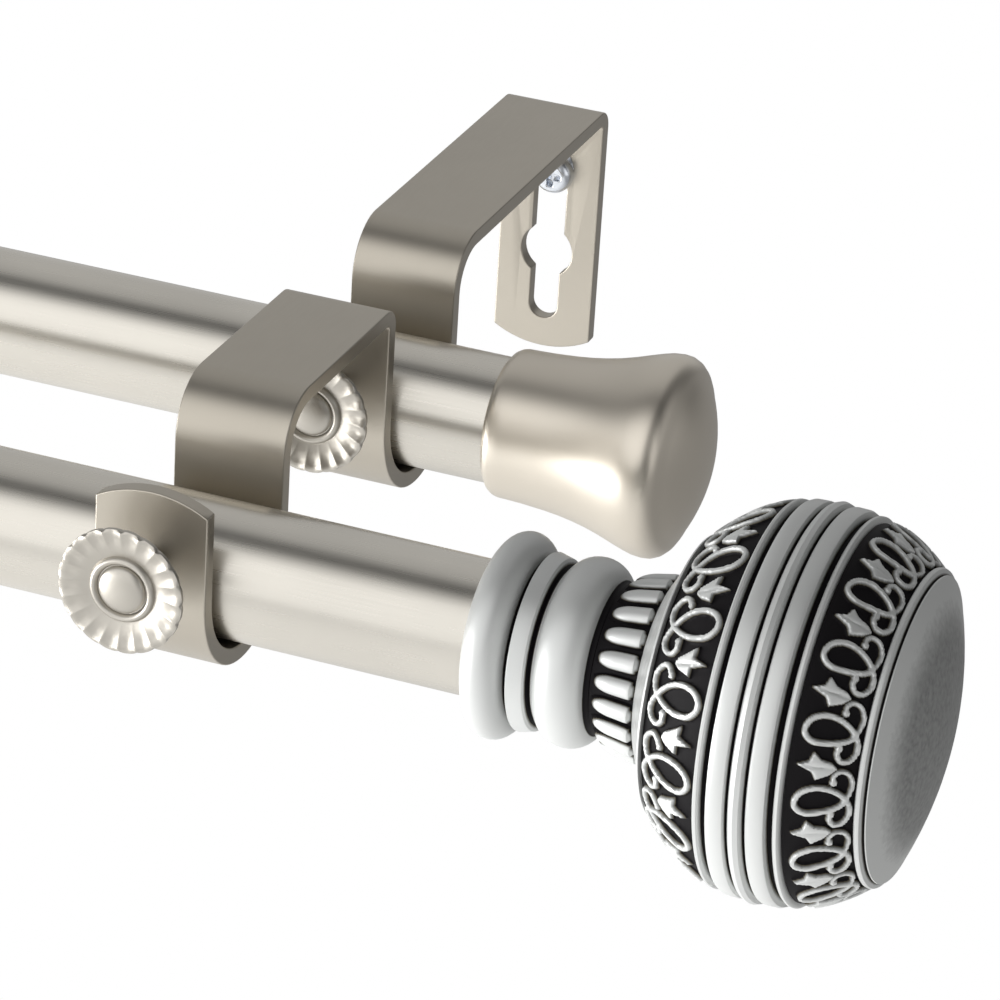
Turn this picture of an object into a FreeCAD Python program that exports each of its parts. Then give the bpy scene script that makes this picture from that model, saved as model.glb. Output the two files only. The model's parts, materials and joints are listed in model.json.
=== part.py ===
"""Double curtain pole: two telescoping tube poles held one behind the other by two bent strap
brackets, with cast ball finials on the front pole and flared end caps on the rear pole.

The frame: X runs along the poles towards the right-hand finial, Y points into the wall and Z is up.
The origin is on the wall, on the centre line of the right-hand bracket, in the middle of the strip
of its wall plate that is left between the keyhole slot and the bend.
Every size is in millimetres and every angle in degrees.
"""
import FreeCAD, Part
import Sketcher
import math
import os

# Driving sizes: name, number and what it measures
SIZES = (
    ("pole_diameter", 25.4, "outside of the outer pole tubes"),
    ("pole_wall", 1.0, "wall of the outer pole tubes"),
    ("inner_pole_diameter", 22.4, "outside of the inner pole tubes"),
    ("inner_pole_wall", 0.9, "wall of the inner pole tubes"),
    ("inner_pole_length", 610.0, "length of each inner pole tube"),
    ("glide_gap", 0.3, "running gap between a glide and the outer tube"),
    ("glide_rim", 4.0, "length of a glide's rim beyond the inner tube"),
    ("glide_spigot", 12.0, "length of a glide's spigot inside the inner tube"),
    ("bracket_spacing", 600.0, "between the centre lines of the two brackets"),
    ("front_overhang", 58.8, "from a bracket's centre line to the back of the finial"),
    ("rear_overhang", 28.7, "from a bracket's centre line to the mouth of the end cap"),
    ("telescope_setback", 26.0, "from the left bracket's centre line to the outer tubes' ends"),
    ("origin_height", 20.0, "from the pole axes up to the origin"),
    ("rear_reach", 101.0, "from the wall to the rear pole's axis"),
    ("pole_pitch", 83.5, "between the two pole axes"),
    ("strap_width", 22.2, "width of the bracket strap"),
    ("strap_thickness", 3.2, "thickness of the bracket strap"),
    ("arm_height", 27.9, "from the right-hand pole axes to the top of the arms"),
    ("tight_bend", 1.2, "inside radius of the bends at the wall and above the rear pole"),
    ("round_bend", 8.0, "inside radius of the bends that turn the arms down"),
    ("cradle_radius", 15.3, "inside radius of the two cradles"),
    ("seat_angle", 55.0, "how far below level the outer tube touches its cradle"),
    ("seat_gap", 0.1, "gap left where a tube rests on its cradle"),
    ("strap_end_radius", 22.0, "radius of the sheared ends of the strap"),
    ("plate_drop", 29.0, "from the right-hand pole axes to the foot of the wall plate"),
    ("tab_height", 22.8, "from the right-hand pole axes to the top of the front tab"),
    ("slot_top_diameter", 9.6, "round top of the keyhole slot"),
    ("slot_top_height", 13.2, "centre of the slot's round top above the pole axes"),
    ("slot_neck", 7.4, "width of the slot between its round parts"),
    ("slot_key_diameter", 11.6, "round part that a screw head passes"),
    ("slot_key_drop", 6.5, "centre of that round part below the pole axes"),
    ("slot_tail", 6.4, "width of the slot's lower end"),
    ("slot_tail_drop", 19.1, "centre of the slot's lower end below the pole axes"),
    ("wall_screw_height", 12.0, "axis of the wall screw above the pole axes"),
    ("wall_screw_shift", 0.8, "from the bracket's centre line to the wall screw's axis"),
    ("wall_screw_diameter", 4.2, "shank of the wall screw"),
    ("wall_screw_length", 32.0, "shank of the wall screw, head not included"),
    ("wall_screw_point", 6.0, "tapered point of the wall screw"),
    ("wall_screw_tip", 0.6, "blunt end of that point"),
    ("wall_head_diameter", 8.6, "pan head of the wall screw"),
    ("wall_head_height", 3.1, "height of the pan head"),
    ("cross_span", 4.2, "cross recess in the pan head, end to end"),
    ("cross_width", 1.1, "width of the cross recess"),
    ("cross_depth", 1.9, "depth of the cross recess"),
    ("thumb_height", 8.5, "axis of a thumb screw above the right-hand pole axes"),
    ("thumb_diameter", 6.0, "shank of a thumb screw"),
    ("thumb_hole_gap", 0.3, "gap round a thumb screw's shank in the strap"),
    ("thumb_tip_chamfer", 0.8, "chamfer at a thumb screw's tip"),
    ("thumb_reach", 19.0, "from a thumb screw's tip to the back of its rosette"),
    ("thumb_dome_diameter", 9.2, "domed head in front of the rosette"),
    ("thumb_dome_height", 1.5, "height of the domed head above the rosette's hub"),
    ("rosette_diameter", 24.4, "across the rosette's petals"),
    ("rosette_sheet", 1.3, "thickness of the pressed rosette"),
    ("rosette_dish", 1.4, "how far the rim stands in front of the hub"),
    ("rosette_hub_diameter", 9.8, "flat hub of the rosette"),
    ("rosette_ring_diameter", 12.8, "bead round the hub"),
    ("rosette_ring_height", 0.8, "height of the bead"),
    ("rosette_petals", 20.0, "number of petals"),
    ("rosette_notch", 1.1, "side of the square bar that cuts the notch between two petals"),
    ("plug_length", 22.0, "insert in each front tube's end"),
    ("plug_gap", 0.05, "fitting gap round an insert"),
    ("stud_diameter", 6.0, "stud that joins a finial to its insert"),
    ("stud_gap", 0.05, "fitting gap round a stud"),
    ("stud_depth", 16.0, "depth of the stud in the finial"),
    ("stud_hole_spare", 2.0, "how much deeper each stud hole is"),
    ("cap_mouth_gap", 0.5, "gap between the cap's mouth and the outer tube"),
    ("cap_mouth_chamfer", 2.0, "sloped rim round the cap's mouth, along the pole"),
    ("cap_neck_radius", 14.95, "cap just behind its rim"),
    ("cap_waist_radius", 15.5, "cap where the flare begins"),
    ("cap_waist_station", 12.0, "from the mouth to the start of the flare"),
    ("cap_flare_radius", 17.8, "cap half way along the flare"),
    ("cap_flare_station", 23.6, "from the mouth to that place"),
    ("cap_shoulder_radius", 20.3, "largest radius of the cap"),
    ("cap_shoulder_station", 33.2, "from the mouth to the largest radius"),
    ("cap_face_radius", 16.6, "where the shoulder meets the domed face"),
    ("cap_face_station", 37.9, "from the mouth to the domed face's edge"),
    ("cap_length", 42.2, "whole length of the cap"),
    ("cap_wall", 1.1, "wall of the spun cap"),
    ("cap_lip", 1.6, "thickness of the cap's mouth, along the pole"),
    ("liner_depth", 16.0, "how far a rear tube enters its cap"),
    ("liner_gap", 0.05, "fitting gap inside and outside the liner"),
    ("liner_floor", 2.0, "end wall of the liner"),
    ("finial_seat_radius", 12.9, "flat back of the finial"),
    ("collar_width", 8.2, "large rounded collar"),
    ("collar_radius", 19.2, "largest radius of the collar"),
    ("collar_edge_radius", 16.0, "both edges of the collar"),
    ("groove_width", 0.7, "narrow grooves beside the ring"),
    ("groove_depth", 1.2, "depth of the narrow grooves"),
    ("ring_width", 3.5, "ring between the two grooves"),
    ("ring_radius", 16.7, "ring beside the collar"),
    ("ring_end_radius", 15.7, "ring beside the bead"),
    ("bead_width", 10.1, "smaller rounded bead"),
    ("bead_radius", 17.6, "largest radius of the bead"),
    ("bead_edge_radius", 15.4, "both edges of the bead"),
    ("recess_width", 1.0, "dark recess behind the lobed neck"),
    ("recess_radius", 14.2, "radius of that recess"),
    ("neck_length", 9.2, "lobed neck"),
    ("neck_start_radius", 14.4, "ground of the neck beside the recess"),
    ("neck_end_radius", 16.0, "ground of the neck beside the flange"),
    ("neck_lobes", 22.0, "number of lobes round the neck"),
    ("lobe_start_crest", 15.8, "crest of a lobe at its small end"),
    ("lobe_end_crest", 17.8, "crest of a lobe beside the flange"),
    ("lobe_start_radius", 1.5, "section radius of a lobe at its small end"),
    ("lobe_end_radius", 2.1, "section radius of a lobe beside the flange"),
    ("flange_width", 4.1, "plain cone between the neck and the ball"),
    ("flange_start_radius", 17.6, "small end of the cone"),
    ("flange_end_radius", 25.2, "large end of the cone"),
    ("rim_width", 0.8, "thin ridge at the edge of the ball"),
    ("rim_radius", 26.2, "top of that ridge"),
    ("left_band_width", 12.9, "scroll band beside the neck, along the axis"),
    ("left_band_start", 25.4, "its ground beside the thin ridge"),
    ("left_band_middle", 31.0, "its ground half way"),
    ("left_band_end", 34.3, "its ground beside the hoops"),
    ("band_ridge_width", 1.3, "ridge at the inner edge of each scroll band"),
    ("band_ridge_radius", 35.3, "radius of those ridges"),
    ("hoop_groove_width", 1.2, "groove between a ridge and a hoop"),
    ("hoop_groove_radius", 33.9, "bottom of those grooves"),
    ("hoop_width", 3.5, "each of the two wide hoops"),
    ("hoop_radius", 35.9, "top of a wide hoop"),
    ("hoop_line_width", 0.8, "thin line beside the middle ridge"),
    ("hoop_line_radius", 34.9, "bottom of the thin line"),
    ("middle_ridge_width", 2.4, "narrow ridge round the middle of the ball"),
    ("middle_ridge_radius", 36.5, "top of the middle ridge"),
    ("right_band_width", 11.0, "scroll band beside the dome, along the axis"),
    ("right_band_start", 34.3, "its ground beside the hoops"),
    ("right_band_middle", 32.1, "its ground half way"),
    ("right_band_end", 28.0, "its ground beside the dome"),
    ("left_band_repeats", 15.0, "repeats of the scroll pattern beside the neck"),
    ("right_band_repeats", 16.0, "repeats of the scroll pattern beside the dome"),
    ("scroll_height", 0.8, "how far the scrolls stand above the slope they lie on"),
    ("scroll_root", 1.0, "how far the scrolls are sunk below that slope"),
    ("dome_ridge_width", 1.4, "ridge round the dome"),
    ("dome_ridge_radius", 28.8, "top of that ridge"),
    ("dome_line_width", 0.5, "thin line between ridge and dome"),
    ("dome_line_radius", 27.5, "bottom of that line"),
    ("dome_radius", 27.9, "edge of the smooth dome"),
    ("dome_height", 5.6, "height of the smooth dome"),
)

NODE_FOLDER = "parts"
HALF_TURN = 180.0
QUARTER_TURN = 90.0
FULL_TURN = 360.0
ALONG_X = FreeCAD.Rotation(FreeCAD.Vector(0, 1, 0), QUARTER_TURN)
FACING_LEFT = FreeCAD.Rotation(FreeCAD.Vector(0, 0, 1), HALF_TURN)
FACING_FRONT = FreeCAD.Rotation(FreeCAD.Vector(0, 0, 1), -QUARTER_TURN)
FACING_WALL = FreeCAD.Rotation(FreeCAD.Vector(0, 0, 1), QUARTER_TURN)
STRAIGHT = FreeCAD.Rotation()


class Dim:
    """A size that carries both its number and the sheet expression that gives it."""

    def __init__(self, value, text):
        self.value = float(value)
        self.text = text

    def __add__(self, other):
        other = as_dim(other)
        return Dim(self.value + other.value, "(%s + %s)" % (self.text, other.text))

    def __sub__(self, other):
        other = as_dim(other)
        return Dim(self.value - other.value, "(%s - %s)" % (self.text, other.text))

    def __mul__(self, other):
        other = as_dim(other)
        return Dim(self.value * other.value, "(%s * %s)" % (self.text, other.text))

    def __truediv__(self, other):
        other = as_dim(other)
        return Dim(self.value / other.value, "(%s / %s)" % (self.text, other.text))

    def __neg__(self):
        return Dim(-self.value, "(-1 * %s)" % self.text)


def as_dim(number):
    """Give a plain number the form of a size."""
    if isinstance(number, Dim):
        return number
    return Dim(number, repr(float(number)))


def root(size):
    """Square root of a size."""
    return Dim(math.sqrt(size.value), "sqrt(%s)" % size.text)


def sine(angle):
    """Sine of an angle in degrees."""
    return Dim(math.sin(math.radians(angle.value)), "sin(%s * 1deg)" % angle.text)


def cosine(angle):
    """Cosine of an angle in degrees."""
    return Dim(math.cos(math.radians(angle.value)), "cos(%s * 1deg)" % angle.text)


class Sheet:
    """The spreadsheet of driving sizes, with each size as an attribute."""

    def __init__(self, document):
        cells = document.addObject("Spreadsheet::Sheet", "Sizes")
        for row, (name, number, note) in enumerate(SIZES, start=1):
            cells.set("A%d" % row, name)
            cells.set("B%d" % row, str(number))
            cells.set("C%d" % row, note)
            cells.setAlias("B%d" % row, name)
            setattr(self, name, Dim(number, "Sizes.%s" % name))


DOC = FreeCAD.newDocument("DoubleCurtainPole")
S = Sheet(DOC)
DOC.recompute()
ZERO = Dim(0, "0")


def bind(item, **sizes):
    """Tie properties of a document object to the sheet."""
    for name, size in sizes.items():
        item.setExpression(name, size.text)


def place(item, x=ZERO, y=ZERO, z=ZERO, turn=STRAIGHT):
    """Put an object at a place that follows the sheet, turned by a fixed rotation."""
    item.Placement = FreeCAD.Placement(FreeCAD.Vector(x.value, y.value, z.value), turn)
    for axis, size in (("x", x), ("y", y), ("z", z)):
        if size is not ZERO:
            item.setExpression("Placement.Base.%s" % axis, size.text)


def draw(sketch, outline):
    """Draw a closed outline and hold each of its corners at sizes of the sheet.

    Each step is (x, r) for a line to that corner, or (middle x, middle r, x, r) for an arc through
    a point to that corner. The first step starts from the last corner.
    """
    corners = [FreeCAD.Vector(step[-2].value, step[-1].value, 0) for step in outline]
    first_ends = []
    last_ends = []
    middles = []
    for index, step in enumerate(outline):
        start = corners[index - 1]
        end = corners[index]
        first_end, last_end = 1, 2
        if len(step) == 2:
            sketch.addGeometry(Part.LineSegment(start, end), False)
        else:
            middle = FreeCAD.Vector(step[0].value, step[1].value, 0)
            sketch.addGeometry(Part.Arc(start, middle, end), False)
            if (middle - start).cross(end - middle).z < 0:
                first_end, last_end = 2, 1
            middles.append((index, middle, step[0], step[1]))
        first_ends.append(first_end)
        last_ends.append(last_end)
    for index, step in enumerate(outline):
        following = (index + 1) % len(outline)
        join = Sketcher.Constraint("Coincident", index, last_ends[index], following, first_ends[following])
        sketch.addConstraint(join)
        hold(sketch, index, last_ends[index], step[-2], step[-1])
    for index, middle, x, r in middles:
        point = sketch.addGeometry(Part.Point(middle), True)
        hold(sketch, point, 1, x, r)
        sketch.addConstraint(Sketcher.Constraint("PointOnObject", point, 1, index))


def hold(sketch, geometry, end, x, r):
    """Hold one point of a sketch at a distance along and above its axis."""
    for kind, axis, size in (("DistanceX", -2, x), ("DistanceY", -1, r)):
        if size is ZERO:
            sketch.addConstraint(Sketcher.Constraint("PointOnObject", geometry, end, axis))
            continue
        number = sketch.addConstraint(Sketcher.Constraint(kind, -1, 1, geometry, end, size.value))
        sketch.setExpression("Constraints[%d]" % number, size.text)


def origin_feature(body, role):
    """Find a plane or axis of a body's own origin."""
    return [item for item in body.Origin.OriginFeatures if item.Role == role][0]


def turned(name, outline):
    """Turn a closed outline about the X axis of its own body."""
    body = DOC.addObject("PartDesign::Body", name)
    sketch = body.newObject("Sketcher::SketchObject", name + "_profile")
    sketch.AttachmentSupport = [(origin_feature(body, "XY_Plane"), "")]
    sketch.MapMode = "FlatFace"
    draw(sketch, outline)
    turn = body.newObject("PartDesign::Revolution", name + "_turned")
    turn.Profile = sketch
    turn.ReferenceAxis = (sketch, ["H_Axis"])
    turn.Angle = FULL_TURN
    body.Tip = turn
    return body


def repeat_round(body, features, count):
    """Repeat features of a turned body round its X axis."""
    pattern = body.newObject("PartDesign::PolarPattern", features[0].Name + "_round")
    pattern.Originals = features
    pattern.Axis = (origin_feature(body, "X_Axis"), [""])
    pattern.Angle = FULL_TURN
    bind(pattern, Occurrences=count)
    body.Tip = pattern


def cylinder(name, radius, length, turn=ALONG_X, angle=FULL_TURN, x=ZERO, y=ZERO, z=ZERO):
    """A round bar, or a sector of one, along X unless it is turned."""
    item = DOC.addObject("Part::Cylinder", name)
    bind(item, Radius=radius, Height=length)
    item.Angle = angle
    place(item, x, y, z, turn)
    return item


def block(name, y_low, y_high, z_low, z_high, width):
    """A flat run of strap: a box centred on the bracket's centre line."""
    item = DOC.addObject("Part::Box", name)
    bind(item, Length=width, Width=y_high - y_low, Height=z_high - z_low)
    place(item, -width / 2, y_low, z_low)
    return item


def cut(name, base, tool):
    """One solid less another."""
    item = DOC.addObject("Part::Cut", name)
    item.Base = base
    item.Tool = tool
    return item


def common(name, base, tool):
    """What two solids share."""
    item = DOC.addObject("Part::Common", name)
    item.Base = base
    item.Tool = tool
    return item


def fuse(name, shapes):
    """Several solids joined into one, with the seams of flush faces taken out."""
    item = DOC.addObject("Part::MultiFuse", name)
    item.Shapes = shapes
    item.Refine = True
    return item


def tube(name, x_low, x_high, y, diameter, wall):
    """A pole tube between two stations."""
    length = x_high - x_low
    outside = cylinder(name + "_outside", diameter / 2, length)
    bore = cylinder(name + "_bore", diameter / 2 - wall, length)
    item = cut(name, outside, bore)
    place(item, x_low, y, POLE_Z)
    return item


# Places that several sub-parts share
REAR_Y = -S.rear_reach
POLE_Z = -S.origin_height
FRONT_Y = -(S.rear_reach + S.pole_pitch)
LEFT_X = -S.bracket_spacing
FRONT_RIGHT_END = S.front_overhang
FRONT_LEFT_END = -(S.bracket_spacing + S.front_overhang)
REAR_RIGHT_END = S.rear_overhang + S.liner_depth
REAR_LEFT_END = -(S.bracket_spacing + S.rear_overhang + S.liner_depth)
OUTER_TUBES_END = S.telescope_setback - S.bracket_spacing
BORE_RADIUS = S.pole_diameter / 2 - S.pole_wall
INNER_BORE_RADIUS = S.inner_pole_diameter / 2 - S.inner_pole_wall

# An outer tube touches its cradle at the seat angle, and the smaller inner tube lies as far from
# the wall, so it touches the left bracket nearer the bottom and that bracket is fixed a little higher
OUTER_SLACK = S.cradle_radius - S.pole_diameter / 2 - S.seat_gap
INNER_SLACK = S.cradle_radius - S.inner_pole_diameter / 2 - S.seat_gap
CRADLE_FORWARD = OUTER_SLACK * cosine(S.seat_angle)
CRADLE_RISE = OUTER_SLACK * sine(S.seat_angle)
LEFT_LIFT = root(INNER_SLACK * INNER_SLACK - CRADLE_FORWARD * CRADLE_FORWARD) - CRADLE_RISE


def bend(name, start, sweep, inside, y, z):
    """A bend of the strap: a sector of a ring about a line along X.

    The start angle counts from straight down, towards the wall and then up.
    """
    turn = ALONG_X.multiply(FreeCAD.Rotation(FreeCAD.Vector(0, 0, 1), start))
    x = -S.strap_width / 2
    outer = cylinder(name + "_outer", inside + S.strap_thickness, S.strap_width, turn, sweep, x, y, z)
    inner = cylinder(name + "_inner", inside, S.strap_width, turn, FULL_TURN, x, y, z)
    return cut(name, outer, inner)


def strap_end(name, y_low, y_high, z_flat, z_tip, z_low, z_high):
    """An end of the strap, sheared to an arc whose tip is at one height."""
    run = block(name + "_run", y_low, y_high, z_low, z_high, S.strap_width)
    turn = FreeCAD.Rotation(FreeCAD.Vector(1, 0, 0), -QUARTER_TURN)
    arc = cylinder(name + "_arc", S.strap_end_radius, y_high - y_low, turn, FULL_TURN, ZERO, y_low, z_flat)
    return common(name, run, arc)


def bracket(name, x, lift):
    """A bracket folded from one strap: wall plate, arm, cradle, second arm, second cradle and tab."""
    thick = S.strap_thickness
    wide = S.strap_width
    arm_top = S.arm_height
    arm_under = arm_top - thick
    tight_outer = S.tight_bend + thick
    round_outer = S.round_bend + thick
    tight_level = arm_top - tight_outer
    round_level = arm_top - round_outer
    foot_level = S.strap_end_radius - S.plate_drop
    tip_level = S.tab_height - S.strap_end_radius
    pieces = [
        block(name + "_plate", -thick, ZERO, foot_level, tight_level, wide),
        strap_end(name + "_foot", -thick, ZERO, foot_level, -S.plate_drop, -S.plate_drop, foot_level),
        bend(name + "_wall_bend", QUARTER_TURN, QUARTER_TURN, S.tight_bend, -tight_outer, tight_level),
    ]
    arm_start = -tight_outer
    for number, pole_y in enumerate((REAR_Y, FRONT_Y), start=1):
        part = "%s_%d" % (name, number)
        cradle_y = pole_y - CRADLE_FORWARD
        back_face = cradle_y + S.cradle_radius
        front_face = cradle_y - S.cradle_radius
        arm_end = back_face + round_outer
        pieces.append(block(part + "_arm", arm_end, arm_start, arm_under, arm_top, wide))
        pieces.append(bend(part + "_shoulder", HALF_TURN, QUARTER_TURN, S.round_bend, arm_end, round_level))
        pieces.append(block(part + "_drop", back_face, back_face + thick, CRADLE_RISE, round_level, wide))
        pieces.append(bend(part + "_cradle", -QUARTER_TURN, HALF_TURN, S.cradle_radius, cradle_y, CRADLE_RISE))
        if number == 1:
            pieces.append(block(part + "_rise", front_face - thick, front_face, CRADLE_RISE, tight_level, wide))
            arm_start = front_face - tight_outer
            pieces.append(bend(part + "_rise_bend", QUARTER_TURN, QUARTER_TURN, S.tight_bend, arm_start, tight_level))
        else:
            pieces.append(
                strap_end(part + "_tab", front_face - thick, front_face, tip_level, S.tab_height,
                          CRADLE_RISE, S.tab_height)
            )
    holes = slot_tools(name)
    for number, pole_y in enumerate((REAR_Y, FRONT_Y), start=1):
        hole_y = pole_y - CRADLE_FORWARD - S.cradle_radius - thick * 2
        turn = FreeCAD.Rotation(FreeCAD.Vector(1, 0, 0), -QUARTER_TURN)
        radius = S.thumb_diameter / 2 + S.thumb_hole_gap
        holes.append(
            cylinder("%s_thumb_hole_%d" % (name, number), radius, thick * 3, turn, FULL_TURN,
                     ZERO, hole_y, S.thumb_height)
        )
    item = cut(name, fuse(name + "_strap", pieces), fuse(name + "_holes", holes))
    place(item, x, ZERO, POLE_Z + lift)
    return item


def slot_tools(name):
    """The keyhole slot of the wall plate: three round parts joined by two straight ones."""
    through = S.strap_thickness * 3
    start = -S.strap_thickness * 2
    turn = FreeCAD.Rotation(FreeCAD.Vector(1, 0, 0), -QUARTER_TURN)
    rounds = (
        ("top", S.slot_top_diameter, S.slot_top_height),
        ("key", S.slot_key_diameter, -S.slot_key_drop),
        ("tail", S.slot_tail, -S.slot_tail_drop),
    )
    tools = []
    for label, diameter, height in rounds:
        tools.append(
            cylinder("%s_slot_%s" % (name, label), diameter / 2, through, turn, FULL_TURN, ZERO, start, height)
        )
    end = start + through
    tools.append(block(name + "_slot_neck", start, end, -S.slot_key_drop, S.slot_top_height, S.slot_neck))
    tools.append(block(name + "_slot_lower", start, end, -S.slot_tail_drop, -S.slot_key_drop, S.slot_tail))
    return tools


def thumb_tip(pole_diameter, height):
    """How far in front of a pole's axis the thumb screw's tip stops."""
    low_edge = height - S.thumb_diameter / 2 + S.thumb_tip_chamfer
    half = pole_diameter / 2
    return root(half * half - low_edge * low_edge) + S.seat_gap


def rosette(name, x, y, z):
    """A pressed rosette: hub, bead and a dished ring of petals with a notched rim."""
    rim = S.rosette_diameter / 2
    hub = S.rosette_hub_diameter / 2
    bead = S.rosette_ring_diameter / 2
    sheet = S.rosette_sheet
    bore = S.thumb_diameter / 2 + S.stud_gap
    outline = [
        (ZERO, bore),
        (ZERO, bead),
        (S.rosette_dish, rim),
        (S.rosette_dish + sheet * 0.7, rim),
        (S.rosette_dish + sheet, rim - sheet * 0.6),
        (sheet, bead),
        (sheet + S.rosette_ring_height, (bead + hub) / 2),
        (sheet, hub),
        (sheet, bore),
    ]
    body = turned(name, outline)
    notch = body.newObject("PartDesign::SubtractiveBox", name + "_notch")
    bind(notch, Length=S.rosette_notch, Width=S.rosette_notch, Height=rim)
    notch.AttachmentSupport = [(origin_feature(body, "XY_Plane"), "")]
    notch.MapMode = "Deactivated"
    edge_on = FreeCAD.Rotation(FreeCAD.Vector(0, 0, 1), -45)
    slope = FreeCAD.Rotation(FreeCAD.Vector(0, 1, 0), 20)
    place(notch, sheet * 0.95, ZERO, bead, slope.multiply(edge_on))
    repeat_round(body, [notch], S.rosette_petals)
    place(body, x, y, z, FACING_FRONT)
    return body


def thumb_screw(name, x, y, z):
    """The screw of a rosette: shank with a chamfered tip and a domed head."""
    half = S.thumb_diameter / 2
    dome = S.thumb_dome_diameter / 2
    face = S.rosette_sheet
    outline = [
        (-S.thumb_reach, ZERO),
        (-S.thumb_reach, half - S.thumb_tip_chamfer),
        (S.thumb_tip_chamfer - S.thumb_reach, half),
        (face, half),
        (face, dome),
        (face + S.thumb_dome_height * 0.6, dome * 0.72),
        (face + S.thumb_dome_height, dome * 0.3),
        (face + S.thumb_dome_height, ZERO),
    ]
    body = turned(name, outline)
    place(body, x, y, z, FACING_FRONT)
    return body


def wall_screw(name, x, z):
    """A pan head wood screw with a cross recess, seated on the wall plate."""
    half = S.wall_screw_diameter / 2
    head = S.wall_head_diameter / 2
    top = -S.wall_head_height
    outline = [
        (top, ZERO),
        (top, head * 0.55),
        (top * 0.7, head * 0.9),
        (top * 0.25, head),
        (ZERO, head),
        (ZERO, half),
        (S.wall_screw_length - S.wall_screw_point, half),
        (S.wall_screw_length, S.wall_screw_tip / 2),
        (S.wall_screw_length, ZERO),
    ]
    body = turned(name + "_blank", outline)
    arms = []
    for number, turn in enumerate((STRAIGHT, FreeCAD.Rotation(FreeCAD.Vector(1, 0, 0), QUARTER_TURN))):
        arm = DOC.addObject("Part::Box", "%s_recess_%d" % (name, number))
        bind(arm, Length=S.cross_depth * 2, Width=S.cross_span, Height=S.cross_width)
        shift_y = -S.cross_span / 2 if number == 0 else S.cross_width / 2
        shift_z = -S.cross_width / 2 if number == 0 else -S.cross_span / 2
        place(arm, top - S.cross_depth, shift_y, shift_z, turn)
        arms.append(arm)
    item = cut(name, body, fuse(name + "_recess", arms))
    place(item, x, -S.strap_thickness, z, FACING_WALL)
    return item


def insert(name, x, bore_radius, turn):
    """The plastic insert in a front tube's end, with a hole for the finial's stud."""
    hole = S.stud_diameter / 2 + S.stud_gap
    radius = bore_radius - S.plug_gap
    outline = [
        (ZERO, hole),
        (ZERO, radius),
        (S.plug_length, radius),
        (S.plug_length, hole),
    ]
    body = turned(name, outline)
    place(body, x, FRONT_Y, POLE_Z, turn)
    return body


def stud(name, x, turn):
    """The stud between a finial and its insert."""
    half = S.stud_diameter / 2
    length = S.plug_length - S.stud_hole_spare + S.stud_depth
    outline = [
        (ZERO, ZERO),
        (ZERO, half - S.thumb_tip_chamfer),
        (S.thumb_tip_chamfer, half),
        (length - S.thumb_tip_chamfer, half),
        (length, half - S.thumb_tip_chamfer),
        (length, ZERO),
    ]
    body = turned(name, outline)
    place(body, x, FRONT_Y, POLE_Z, turn)
    return body


def dome(edge_station, edge_radius, height):
    """The last step of an outline: an arc about a point on the axis, up to the axis itself."""
    ball = (edge_radius * edge_radius + height * height) / (height * 2)
    half = edge_radius / 2
    middle = edge_station + height - ball + root(ball * ball - half * half)
    return (middle, half, edge_station + height, ZERO)


def rounded(station, width, edge, top):
    """A rounded bead as four slopes, from its first edge to its last."""
    return [
        (station, edge),
        (station + width * 0.22, edge + (top - edge) * 0.72),
        (station + width / 2, top),
        (station + width * 0.78, edge + (top - edge) * 0.72),
        (station + width, edge),
    ]


def finial_stations():
    """Where the finial's turned forms begin, measured from its back."""
    widths = (
        ("ring", S.collar_width + S.groove_width),
        ("bead", S.ring_width + S.groove_width),
        ("recess", S.bead_width),
        ("neck", S.recess_width),
        ("flange", S.neck_length),
        ("rim", S.flange_width),
        ("left_band", S.rim_width),
        ("hoops", S.left_band_width),
        ("first_hoop", S.band_ridge_width + S.hoop_groove_width),
        ("middle", S.hoop_width + S.hoop_line_width),
        ("second_hoop", S.middle_ridge_width + S.hoop_line_width),
        ("last_groove", S.hoop_width),
        ("right_band", S.hoop_groove_width + S.band_ridge_width),
        ("dome_ridge", S.right_band_width),
        ("dome", S.dome_ridge_width + S.dome_line_width),
    )
    stations = {}
    station = ZERO
    for name, width in widths:
        station = width if station is ZERO else station + width
        stations[name] = station
    return stations


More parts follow.
